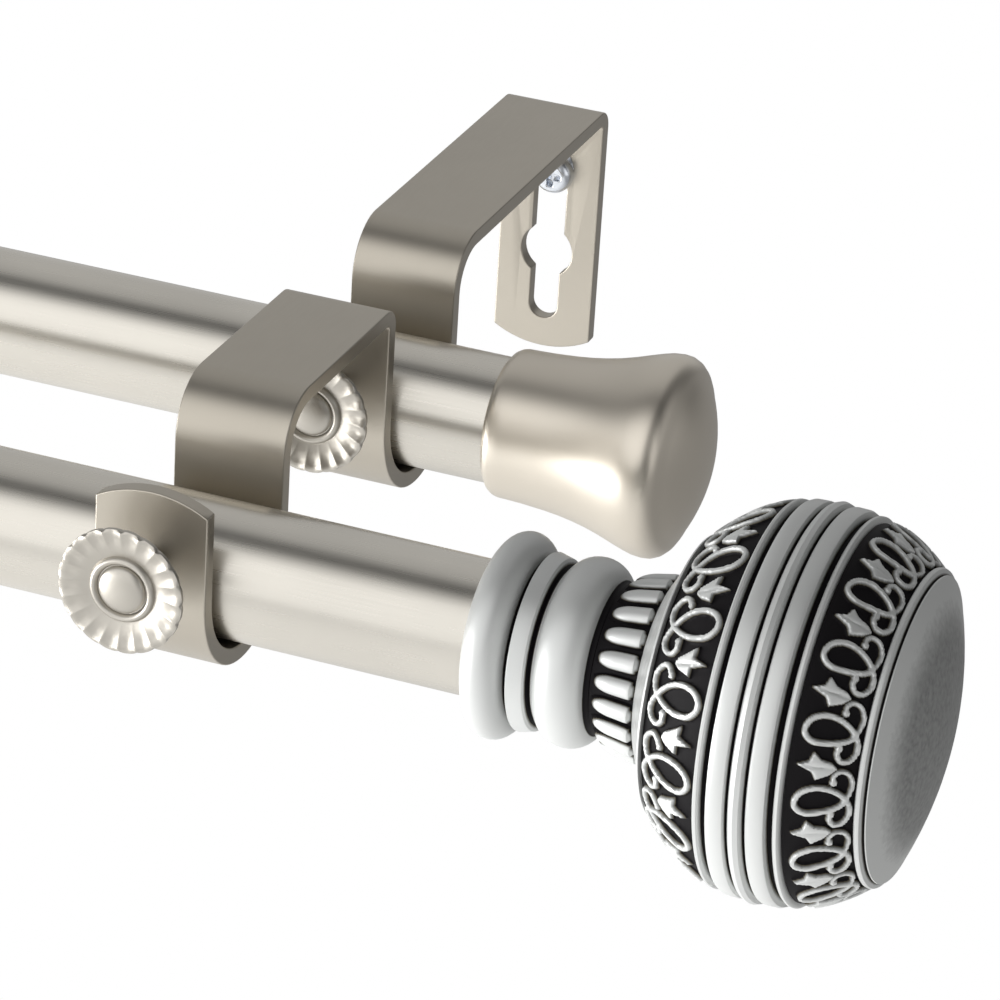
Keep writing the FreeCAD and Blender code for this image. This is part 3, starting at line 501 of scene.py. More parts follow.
class Bench:
    """Puts finished pieces into the scene in place of their CAD nodes."""

    def __init__(self, paint: Paintbox) -> None:
        """Args:
            paint: the finishes.
        """
        self.paint = paint
        record = frame["record"]
        self.slots = {entry["node"]: entry["material_slot"] for entry in record["subparts"]}
        self.bodies = {}
        for body, nodes in record["behaviour"]["bodies"].items():
            for node in nodes:
                self.bodies[node] = body
        self.done: List[str] = []

    def stand_for(self, node: str, mesh: bpy.types.Mesh, finish: Optional[str] = None) -> bpy.types.Object:
        """Shows a mesh in place of a CAD node.

        Args:
            node: the CAD node.
            mesh: its finished mesh, already in place.
            finish: another finish than its slot's.

        Returns:
            The new object.
        """
        item = bpy.data.objects.new(node + "_finished", mesh)
        bpy.context.scene.collection.objects.link(item)
        mesh.materials.clear()
        mesh.materials.append(self.paint.get(finish or self.slots[node]))
        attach(item, self.bodies[node])
        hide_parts(node)
        self.done.append(node)
        return item

    def paint_rest(self) -> None:
        """Gives each CAD node that still shows its finish."""
        for node, item in frame["nodes"].items():
            item.data.materials.clear()
            item.data.materials.append(self.paint.get(self.slots[node]))

    def eased_copy(self, node: str, width: float) -> bpy.types.Object:
        """Shows a CAD node again with eased edges.

        Args:
            node: the CAD node.
            width: size of the eased edge in mm.

        Returns:
            The new object.
        """
        work = bmesh.new()
        work.from_mesh(frame["nodes"][node].data)
        bmesh.ops.remove_doubles(work, verts=work.verts, dist=1e-6)
        bmesh.ops.dissolve_limit(work, angle_limit=math.radians(0.6), verts=work.verts, edges=work.edges)
        mesh = bpy.data.meshes.new(node + "_eased")
        work.to_mesh(mesh)
        work.free()
        mesh.polygons.foreach_set("use_smooth", np.ones(len(mesh.polygons), dtype=bool))
        mesh.set_sharp_from_angle(angle=math.radians(STRAP_CREASE))
        item = self.stand_for(node, mesh)
        bevel = item.modifiers.new("eased_edges", "BEVEL")
        bevel.width = width * MM
        bevel.segments = 3
        bevel.limit_method = "ANGLE"
        bevel.angle_limit = math.radians(50.0)
        bevel.harden_normals = True
        return item


def axis_point(node: str, facing: Facing) -> Vector:
    """The point of a turned CAD node's axis at its own back end.

    Args:
        node: the CAD node.
        facing: which way its local X axis points.

    Returns:
        The point in the row frame, in metres.
    """
    low, high = (Vector(corner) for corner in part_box(node))
    middle = (low + high) / 2.0
    if facing is Facing.RIGHT:
        return Vector((low.x, middle.y, middle.z))
    if facing is Facing.LEFT:
        return Vector((high.x, middle.y, middle.z))
    if facing is Facing.FRONT:
        return Vector((middle.x, high.y, middle.z))
    return Vector((middle.x, low.y, middle.z))


def curve_through(points: np.ndarray, steps: int = 8) -> np.ndarray:
    """A smooth path through points.

    Between two points it is the cubic with half the difference of the neighbours as slope at each
    end (the Catmull-Rom form).

    Args:
        points: the points, one per row.
        steps: pieces between two points.

    Returns:
        The path's points.
    """
    ends = np.vstack((2 * points[0] - points[1], points, 2 * points[-1] - points[-2]))
    t = np.linspace(0.0, 1.0, steps, endpoint=False)[:, None]
    pieces = []
    for a, b, c, d in zip(ends[:-3], ends[1:-2], ends[2:-1], ends[3:]):
        square = 2 * a - 5 * b + 4 * c - d
        cube = 3 * b - a - 3 * c + d
        pieces.append(0.5 * (2 * b + (c - a) * t + square * t**2 + cube * t**3))
    pieces.append(points[-1:])
    return np.vstack(pieces)


def distance_to_path(across: np.ndarray, along: np.ndarray, path: np.ndarray) -> np.ndarray:
    """Shortest distance from grid points to a path of straight pieces."""
    start, end = path[:-1], path[1:]
    step = end - start
    offset_a = across[..., None] - start[:, 0]
    offset_b = along[..., None] - start[:, 1]
    part = (offset_a * step[:, 0] + offset_b * step[:, 1]) / np.maximum((step**2).sum(axis=1), 1e-9)
    part = np.clip(part, 0.0, 1.0)
    gap_a = offset_a - part * step[:, 0]
    gap_b = offset_b - part * step[:, 1]
    return np.sqrt((gap_a**2 + gap_b**2).min(axis=-1))


def inside(across: np.ndarray, along: np.ndarray, corners: np.ndarray) -> np.ndarray:
    """True for the grid points inside a closed outline, by counting crossings."""
    start, end = corners, np.roll(corners, -1, axis=0)
    a, b = across[..., None], along[..., None]
    spans = (start[:, 1] > b) != (end[:, 1] > b)
    slope = (end[:, 0] - start[:, 0]) / np.where(end[:, 1] == start[:, 1], 1e-9, end[:, 1] - start[:, 1])
    crossings = spans & (a < start[:, 0] + slope * (b - start[:, 1]))
    return crossings.sum(axis=-1) % 2 == 1


@dataclass(frozen=True)
class ScrollPattern:
    """The repeating relief of a band: a vine that loops and curls, a hook and a three-pointed leaf.

    Places are (part of the band's slope from the hoops, part of a repeat round the ball).

    Attributes:
        repeats: how often it repeats round the ball.
        shift: where the first repeat starts, in repeats.
        vine: the loop with its tail.
        hook: the second curl.
        leaf: outline of the leaf.
        vein: crease of the leaf.
        height: how far it stands above its ground in mm.
        line: half width of the vine in mm.
        soft: width of the sloping edge of each form in mm.
    """

    repeats: int
    shift: float
    vine: Tuple[Tuple[float, float], ...]
    hook: Tuple[Tuple[float, float], ...]
    leaf: Tuple[Tuple[float, float], ...]
    vein: Tuple[Tuple[float, float], ...]
    height: float = 1.0
    line: float = 0.76
    soft: float = 0.44

    def relief(self, slope_part: np.ndarray, turn_part: np.ndarray, slope_length: float,
               pitch: float) -> np.ndarray:
        """Height of the pattern.

        Args:
            slope_part: 0 at the hoops to 1 at the band's outer edge, for each grid point.
            turn_part: place round the ball in repeats, for each grid point.
            slope_length: the band's width along its slope in mm.
            pitch: length of one repeat in mm.

        Returns:
            0 on the ground to 1 on the top of the relief.
        """
        scale = np.array([slope_length, pitch])
        across = slope_part * slope_length
        vine = curve_through(np.array(self.vine) * scale)
        hook = curve_through(np.array(self.hook) * scale)
        leaf = np.array(self.leaf) * scale
        rim = np.vstack((leaf, leaf[:1]))
        vein = np.array(self.vein) * scale
        top = np.zeros_like(across)
        for turn in (-pitch, 0.0, pitch):
            along = ((turn_part - self.shift) % 1.0) * pitch + turn
            near = (along > -0.62 * pitch) & (along < 1.1 * pitch)
            a, b = across[near], along[near]
            form = self._edge(self.line - distance_to_path(a, b, vine))
            form = np.maximum(form, 0.94 * self._edge(0.92 * self.line - distance_to_path(a, b, hook)))
            for tip in (vine[-1:], hook[:1]):
                bead = np.vstack((tip, tip + 1e-3))
                form = np.maximum(form, self._edge(1.22 * self.line - distance_to_path(a, b, bead)))
            signed = distance_to_path(a, b, rim) * np.where(inside(a, b, leaf), 1.0, -1.0)
            crease = smoothstep(1.0 - distance_to_path(a, b, vein) / 0.4)
            form = np.maximum(form, self._edge(signed + 0.3) * (1.0 - 0.16 * crease))
            top[near] = np.maximum(top[near], form)
        return top

    def _edge(self, depth: np.ndarray) -> np.ndarray:
        """A sloping edge that is at its foot where the depth is nothing."""
        return smoothstep(depth / self.soft)


LEFT_SCROLLS = ScrollPattern(
    repeats=15,
    shift=0.646,
    vine=(
        (0.54, -0.33), (0.60, -0.43), (0.70, -0.46), (0.81, -0.36), (0.83, -0.23), (0.78, -0.08),
        (0.62, 0.06), (0.40, 0.14), (0.17, 0.12), (0.06, 0.0), (0.07, -0.11), (0.16, -0.20),
        (0.34, -0.24), (0.54, -0.19), (0.70, -0.06), (0.80, 0.08), (0.83, 0.22), (0.76, 0.35),
        (0.64, 0.38), (0.56, 0.30), (0.57, 0.20),
    ),
    hook=((0.54, -0.33), (0.60, -0.43), (0.70, -0.46)),
    leaf=(
        (0.071, 0.465), (0.247, 0.401), (0.231, 0.262), (0.365, 0.353), (0.472, 0.417), (0.515, 0.502),
        (0.429, 0.577), (0.274, 0.636), (0.269, 0.524),
    ),
    vein=((0.14, 0.465), (0.46, 0.50)),
)

RIGHT_SCROLLS = ScrollPattern(
    repeats=16,
    shift=0.0,
    vine=(
        (0.83, 0.0), (0.79, 0.06), (0.70, 0.105), (0.51, 0.145), (0.29, 0.15), (0.165, 0.075),
        (0.145, -0.03), (0.225, -0.155), (0.40, -0.22), (0.59, -0.195), (0.76, -0.105), (0.865, 0.015),
        (0.91, 0.13), (0.905, 0.26), (0.82, 0.375), (0.70, 0.385), (0.635, 0.29), (0.65, 0.20),
    ),
    hook=(
        (0.645, 0.70), (0.64, 0.61), (0.72, 0.535), (0.84, 0.565), (0.915, 0.69), (0.91, 0.83),
        (0.865, 0.96),
    ),
    leaf=(
        (0.115, 0.465), (0.275, 0.404), (0.324, 0.283), (0.429, 0.377), (0.583, 0.415), (0.671, 0.492),
        (0.561, 0.586), (0.385, 0.657), (0.324, 0.548),
    ),
    vein=((0.21, 0.465), (0.60, 0.49)),
)


class FinialShape:
    """The finial's carved surface: rows of (station, radius, wash_and_shade) with lobes and scrolls on top;
    the third value is the black wash, and on the dome painted shade.

    The plain forms have fewer points round the axis than the carved ones.
    """

    PLAIN = 240
    CARVED = 704
    LOBES = 22
    LOBE_SHIFT = 0.75
    LOBE_HEIGHT = 1.75

    def __init__(self) -> None:
        self.rows: List[Tuple[float, float, float]] = []
        self.sections: List[Turned] = []

    def add(self, *rows: Tuple[float, float], wash_and_shade: float = 1.0) -> None:
        """Appends rows with one degree of wash, which on the dome is painted shade."""
        self.rows.extend((station, radius, wash_and_shade) for station, radius in rows)

    def close(self, columns: int) -> Turned:
        """Turns the rows so far into a section and starts a new one.

        Args:
            columns: points round the axis.

        Returns:
            The section.
        """
        rows = np.array(self.rows)
        self.rows = []
        section = Turned.from_profile(rows[:, :2], columns)
        section.wash_and_shade = np.broadcast_to(rows[:, 2:3], section.station.shape).copy()
        self.sections.append(section)
        return section

    def arc(self, centre: Tuple[float, float], size: Tuple[float, float], span: Tuple[float, float],
            count: int) -> None:
        """Appends an arc of an ellipse: x = cx + a cos t, r = cr + b sin t."""
        t = np.radians(np.linspace(span[0], span[1], count))
        self.add(*zip(centre[0] + size[0] * np.cos(t), centre[1] + size[1] * np.sin(t)))

    def band(self, first: float, last: float, radii: Tuple[float, float, float], count: int,
             pattern: ScrollPattern, hoops_first: bool) -> None:
        """Appends a carved band on the parabola through its start, middle and end.

        Args:
            first: station of its first row in mm.
            last: station of its last row.
            radii: ground radius at the start, the middle and the end.
            count: number of rows.
            pattern: the scrolls.
            hoops_first: True if the hoops are on the first row's side.
        """
        start, middle, end = radii
        t = np.linspace(0.0, 1.0, count)
        bend = 2.0 * (start + end - 2.0 * middle)
        ground = start + (end - start - bend) * t + bend * t * t
        self.add(*zip(first + (last - first) * t, ground), wash_and_shade=0.0)
        section = self.close(self.CARVED)
        run = np.gradient(section.station[:, 0])
        rise = np.gradient(section.radius[:, 0])
        step = np.hypot(run, rise)
        travelled = np.concatenate(([0.0], np.cumsum(0.5 * (step[:-1] + step[1:]))))
        part = travelled / travelled[-1]
        part = part if hoops_first else 1.0 - part
        turns = section.angles / (2.0 * math.pi) * pattern.repeats
        slope_part, turn_part = np.meshgrid(part, turns, indexing="ij")
        pitch = 2.0 * math.pi * middle / pattern.repeats
        relief = pattern.relief(slope_part, turn_part, float(travelled[-1]), pitch)
        lift = relief * pattern.height
        section.station += lift * (-rise / step)[:, None]
        section.radius += lift * (run / step)[:, None]
        section.wash_and_shade = relief

    def neck(self) -> None:
        """Appends the lobed neck: (1 - s^2.4)^(1/2) across each lobe, rounded off at its two ends."""
        count = 19
        t = np.linspace(0.0, 1.0, count)
        self.add(*zip(24.2 + 9.2 * t, 14.2 + 1.8 * t), wash_and_shade=0.0)
        section = self.close(self.CARVED)
        t = t[:, None]
        turns = section.angles / (2.0 * math.pi) * self.LOBES + self.LOBE_SHIFT
        across = np.abs(((turns + 0.5) % 1.0) - 0.5)[None, :]
        nose = np.sqrt(np.clip(1.0 - np.clip(1.0 - (t - 0.07) / 0.42, 0.0, 1.0) ** 2.0, 0.0, 1.0))
        heel = np.sqrt(np.clip(1.0 - np.clip((t - 0.86) / 0.11, 0.0, 1.0) ** 2.0, 0.0, 1.0))
        ends = np.minimum(nose, heel)
        width = 0.41 * (0.25 + 0.75 * ends)
        swell = np.sqrt(np.clip(1.0 - (across / width) ** 2.2, 0.0, 1.0)) * ends
        section.radius += self.LOBE_HEIGHT * swell
        section.wash_and_shade = smoothstep(swell * 2.0 - 0.45)

    def hoops(self) -> None:
        """Appends the ridges, grooves and hoops round the middle of the ball."""
        dark, line = 0.0, 0.15
        self.add((51.1, 34.6), (51.2, 35.15), (51.45, 35.4), (51.9, 35.4), (52.2, 35.15), (52.35, 34.5))
        self.add((52.5, 33.8), (52.95, 33.5), (53.4, 33.8), wash_and_shade=dark)
        self.add((53.55, 35.0), (53.75, 35.7), (54.3, 35.98), (56.3, 36.05), (56.8, 35.92), (57.05, 35.5))
        self.add((57.15, 34.9), (57.4, 34.6), (57.65, 34.9), wash_and_shade=line)
        self.add((57.75, 35.5), (58.15, 36.2), (59.0, 36.5), (59.85, 36.2), (60.25, 35.5))
        self.add((60.35, 34.9), (60.6, 34.6), (60.85, 34.9), wash_and_shade=line)
        self.add((60.95, 35.5), (61.2, 35.92), (61.7, 36.05), (63.7, 35.98), (64.25, 35.7), (64.45, 35.0))
        self.add((64.6, 33.8), (65.05, 33.5), (65.5, 33.8), wash_and_shade=dark)
        self.add((65.65, 34.5), (65.8, 35.15), (66.1, 35.4), (66.55, 35.4), (66.85, 35.15), (67.0, 34.6))

    def build(self) -> List[Turned]:
        """Returns:
        The sections from the stud hole to the top of the dome.
        """
        self.add((18.0, 0.0), (18.0, 3.05), (0.0, 3.05), (0.0, 12.9))
        self.arc((4.05, 14.5), (4.05, 4.7), (176.0, 10.0), 19)
        self.add((8.2, 14.8), (8.55, 14.4), (8.9, 14.8), wash_and_shade=0.0)
        self.add((9.0, 16.0), (9.15, 16.5), (9.5, 16.6), (12.0, 15.95), (12.25, 15.6))
        self.add((12.4, 14.6), (12.75, 14.2), (13.1, 14.6), wash_and_shade=0.0)
        self.arc((18.15, 13.2), (5.05, 4.35), (161.0, 17.0), 15)
        self.add((23.1, 14.2), (23.5, 13.9), (24.0, 13.9), wash_and_shade=0.0)
        self.close(self.PLAIN)
        self.neck()
        self.add((33.5, 16.9), (33.6, 17.6), (34.6, 19.5), (36.0, 22.2), (37.1, 24.5), wash_and_shade=0.74)
        self.add((37.35, 25.5), (37.6, 26.0), (37.9, 26.1), (38.15, 25.8))
        self.close(self.PLAIN)
        self.band(38.3, 50.95, (25.3, 31.0, 34.3), 46, LEFT_SCROLLS, hoops_first=False)
        self.hoops()
        self.close(self.PLAIN)
        self.band(67.2, 77.95, (34.3, 32.1, 28.0), 39, RIGHT_SCROLLS, hoops_first=True)
        self.add((78.1, 28.4), (78.35, 28.8), (78.8, 28.92), (79.2, 28.75), (79.45, 28.2))
        self.add((79.6, 27.5), (79.85, 27.35), wash_and_shade=0.05)
        self.add((80.0, 27.75), (80.2, 27.7))
        tip, rise, reach = 85.7, 5.6, 27.9
        ball = (reach**2 + rise**2) / (2 * rise)
        edge = math.asin(27.2 / ball)
        # Painted shade on the dome: its silver is greyed from 1.0 at the rim down to 0.60 in the middle, to
        # stand for the shade that falls on the dome.
        for angle in np.linspace(edge, 0.0, 12):
            place = (tip - ball + ball * math.cos(angle), ball * math.sin(angle))
            unshaded = float(smoothstep(np.array((angle / edge - 0.62) / 0.38)))
            self.add(place, wash_and_shade=0.60 + 0.40 * unshaded)
        self.close(self.PLAIN)
        return self.sections


@dataclass
class Finials:
    """The two cast finials of the front pole."""

    bench: Bench

    def build(self) -> None:
        """Makes both from one carved surface."""
        sections = FinialShape().build()
        for side in Side:
            node = "finial_" + side.value
            mesh = joined_mesh(node, sections, axis_point(node, side.facing), side.facing)
            self.bench.stand_for(node, mesh)


@dataclass
class Poles:
    """The four tubes."""

    bench: Bench
    columns: int = 160

    def build(self) -> None:
        """Makes each tube with softly broken ends."""
        for row in Row:
            for kind, outside, wall in (("outer", 12.7, 1.0), ("inner", 11.2, 0.9)):
                node = "%s_%s_tube" % (row.value, kind)
                low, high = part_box(node)
                length = (high[0] - low[0]) / MM
                inside = outside - wall
                loop = [
                    (0.0, inside + 0.25), (0.0, outside - 0.3), (0.1, outside - 0.1), (0.3, outside),
                    (length - 0.3, outside), (length - 0.1, outside - 0.1), (length, outside - 0.3),
                    (length, inside + 0.25), (length - 0.25, inside), (0.25, inside),
                ]
                surface = Turned.from_profile(loop, self.columns, closed=True)
                self.bench.stand_for(node, surface.mesh(node, axis_point(node, Facing.RIGHT), Facing.RIGHT))


@dataclass
class EndCaps:
    """The two spun end caps of the rear pole."""

    bench: Bench
    columns: int = 160

    def profile(self) -> List[Tuple[float, float]]:
        """Returns:
        The cap's section as a closed loop, from the mouth round to the mouth.
        """
        tip, rim, edge = 42.2, 37.9, 16.6
        outside = [
            (0.0, 13.3), (0.12, 13.75), (0.55, 14.35), (1.2, 14.75), (2.0, 14.95), (4.0, 15.0),
            (7.5, 15.15), (12.0, 15.5), (15.0, 15.85), (18.0, 16.35), (21.0, 17.0), (24.0, 17.85),
            (27.0, 18.85), (29.5, 19.65), (31.3, 20.12), (33.2, 20.3), (34.6, 20.15), (35.9, 19.55),
            (36.9, 18.6), (37.5, 17.6), (rim, edge),
        ]
        rise = tip - rim
        ball = (edge**2 + rise**2) / (2 * rise)
        angles = np.linspace(math.asin(edge / ball), 0.0, 12)[1:]
        outside += [(tip - ball + ball * math.cos(a), ball * math.sin(a)) for a in angles]
        hollow = [(41.1, 0.0), (36.8, 15.4), (33.0, 19.2), (24.0, 16.7), (12.0, 14.4)]
        mouth = [(1.6, 13.85), (1.6, 13.2)]
        return outside + hollow + mouth

    def build(self) -> None:
        """Makes both caps."""
        for side in Side:
            node = "end_cap_" + side.value
            surface = Turned.from_profile(self.profile(), self.columns, closed=True)
            self.bench.stand_for(node, surface.mesh(node, axis_point(node, side.facing), side.facing))


@dataclass(frozen=True)
class Thread:
    """A screw thread cut into a shank.

    Attributes:
        pitch: its pitch in mm.
        depth: crest to root in mm.
        first: where it begins.
        last: where it ends.
    """

    pitch: float
    depth: float
    first: float
    last: float

    def cut(self, surface: Turned, crest: float) -> None:
        """Lowers the surface between the crests: d (1 - |2 f - 1|) with f the part of a turn.

        Args:
            surface: the turned surface, changed in place.
            crest: the shank's radius; only rows at it are cut.
        """
        turn = surface.angles[None, :] / (2 * math.pi)
        phase = (surface.station / self.pitch - turn) % 1.0
        groove = self.depth * (1.0 - np.abs(2.0 * phase - 1.0)) ** 1.3
        begin = smoothstep((surface.station - self.first) / 0.8)
        fade = begin * smoothstep((self.last - surface.station) / 0.8)
        onto = np.abs(surface.radius - crest) < 0.01
        surface.radius -= np.where(onto, groove * fade, 0.0)


def shank_rows(first: float, last: float, radius: float, step: float) -> List[Tuple[float, float]]:
    """Rows close enough together to carry a thread."""
    count = max(2, int(abs(last - first) / step))
    return [(float(x), radius) for x in np.linspace(first, last, count)]


@dataclass
class ThumbScrews:
    """The four clamp screws with their domed heads."""

    bench: Bench
    columns: int = 64

    def build(self) -> None:
        """Makes each screw; its tip is its CAD node's back end."""
        for side in Side:
            for row in Row:
                node = "%s_thumb_screw_%s" % (row.value, side.value)
                head = [(20.45, 4.6), (20.75, 4.5), (21.15, 4.1), (21.45, 3.4)]
                head += [(21.68, 2.3), (21.78, 1.1), (21.8, 0.0)]
                profile = [(0.0, 0.0), (0.0, 2.1), (0.2, 2.3)] + shank_rows(0.85, 19.0, 3.0, 0.16)
                profile += [(20.3, 3.0), (20.3, 4.45)] + head
                surface = Turned.from_profile(profile, self.columns)
                Thread(1.0, 0.42, 0.4, 18.2).cut(surface, 3.0)
                mesh = surface.mesh(node, axis_point(node, Facing.FRONT), Facing.FRONT)
                self.bench.stand_for(node, mesh, "pressed_nickel")


@dataclass
class Rosettes:
    """The four pressed rosettes."""

    bench: Bench
    petals: int = 20
    columns_per_petal: int = 14

    def profile(self) -> List[Tuple[float, float]]:
        """Returns:
        The section as a closed loop: back, rim, front, bore.
        """
        back = [(0.0, 3.05), (0.0, 4.7), (0.0, 6.4), (0.35, 7.9), (0.75, 9.5), (1.15, 11.1), (1.35, 11.9)]
        rim = [(1.55, 12.15), (1.9, 12.2), (2.3, 12.15), (2.6, 11.9)]
        petals = [(2.68, 11.4), (2.5, 10.7), (2.25, 9.8), (2.0, 8.9), (1.75, 8.0), (1.5, 7.2), (1.34, 6.7)]
        bead = [(1.3, 6.45), (1.6, 6.3), (1.95, 6.05), (2.1, 5.75), (2.08, 5.4), (1.85, 5.1), (1.45, 4.92)]
        hub = [(1.3, 4.8), (1.3, 3.05)]
        return back + rim + petals + bead + hub

    def build(self) -> None:
        """Makes each rosette with hollow petals, crisp ridges between them and a scalloped rim."""
        columns = self.petals * self.columns_per_petal
        for side in Side:
            for row in Row:
                node = "%s_rosette_%s" % (row.value, side.value)
                surface = Turned.from_profile(self.profile(), columns, closed=True)
                part = (np.arange(columns) / self.columns_per_petal) % 1.0
                ridge = (np.abs(2.0 * part - 1.0) ** 1.5)[None, :]
                reach = smoothstep((surface.radius - 6.4) / 1.5)
                front = surface.station > 1.2 + 0.1 * surface.radius
                surface.radius *= 1.0 - 0.016 * ridge * ridge * reach
                surface.station += np.where(front, (0.34 * ridge - 0.28) * reach, 0.0)
                mesh = surface.mesh(node, axis_point(node, Facing.FRONT), Facing.FRONT)
                self.bench.stand_for(node, mesh, "pressed_nickel")


@dataclass
class WallScrews:
    """The two pan head wall screws with a cross recess."""

    bench: Bench
    columns: int = 96

    def build(self) -> None:
        """Makes each screw; its head's top is its CAD node's back end."""
        for side in Side:
            node = "wall_screw_" + side.value
            face = [(0.0, float(r)) for r in np.linspace(0.0, 2.7, 19)]
            crown = [(0.12, 3.0), (0.4, 3.45), (0.9, 3.9), (1.6, 4.2), (2.3, 4.3), (3.1, 4.3), (3.1, 2.1)]
            shank = shank_rows(3.2, 29.1, 2.1, 0.22)
            tip = [(31.0, 1.55), (33.0, 1.0), (35.1, 0.3), (35.1, 0.0)]
            surface = Turned.from_profile(face + crown + shank + tip, self.columns)
            Thread(2.0, 0.6, 9.0, 29.4).cut(surface, 2.1)
            self._recess(surface)
            self.bench.stand_for(node, surface.mesh(node, axis_point(node, Facing.WALL), Facing.WALL))

    def _recess(self, surface: Turned) -> None:
        """Sinks the cross: deepest in the middle, with sloping ends to its four arms."""
        angle = np.broadcast_to(surface.angles, surface.station.shape)
        first, second = surface.radius * np.cos(angle), surface.radius * np.sin(angle)
        narrow = np.minimum(np.abs(first), np.abs(second))
        depth = smoothstep((0.75 - narrow) / 0.3) * smoothstep((2.5 - surface.radius) / 0.9)
        top = surface.station < 0.05
        surface.station += np.where(top, 1.7 * depth, 0.0)


@dataclass
class Brackets:
    """The two folded strap brackets."""

    bench: Bench
    ease: float = 0.4

    def build(self) -> None:
        """Shows both with the edges that a sheared and tumbled strap has."""
        for side in Side:
            self.bench.eased_copy("bracket_" + side.value, self.ease)


@dataclass(frozen=True)
class Softbox:
    """A square lamp that looks at the poles.

    Attributes:
        name: its name.
        place: where it stands, in metres.
        target: what it looks at.
        size: its side, in metres.
        power: its power in watts.
        colour: its light.
    """

    name: str
    place: Tuple[float, float, float]
    target: Tuple[float, float, float]
    size: float
    power: float
    colour: Colour = (1.0, 1.0, 1.0)

    def build(self) -> None:
        """Puts the lamp into the scene."""
        light = bpy.data.lights.new(self.name, "AREA")
        light.shape = "SQUARE"
        light.size = self.size
        light.energy = self.power
        light.color = self.colour
        item = bpy.data.objects.new(self.name, light)
        bpy.context.scene.collection.objects.link(item)
        item.location = self.place
        item.rotation_euler = (Vector(self.target) - Vector(self.place)).to_track_quat("-Z", "Y").to_euler()
        item.visible_camera = False


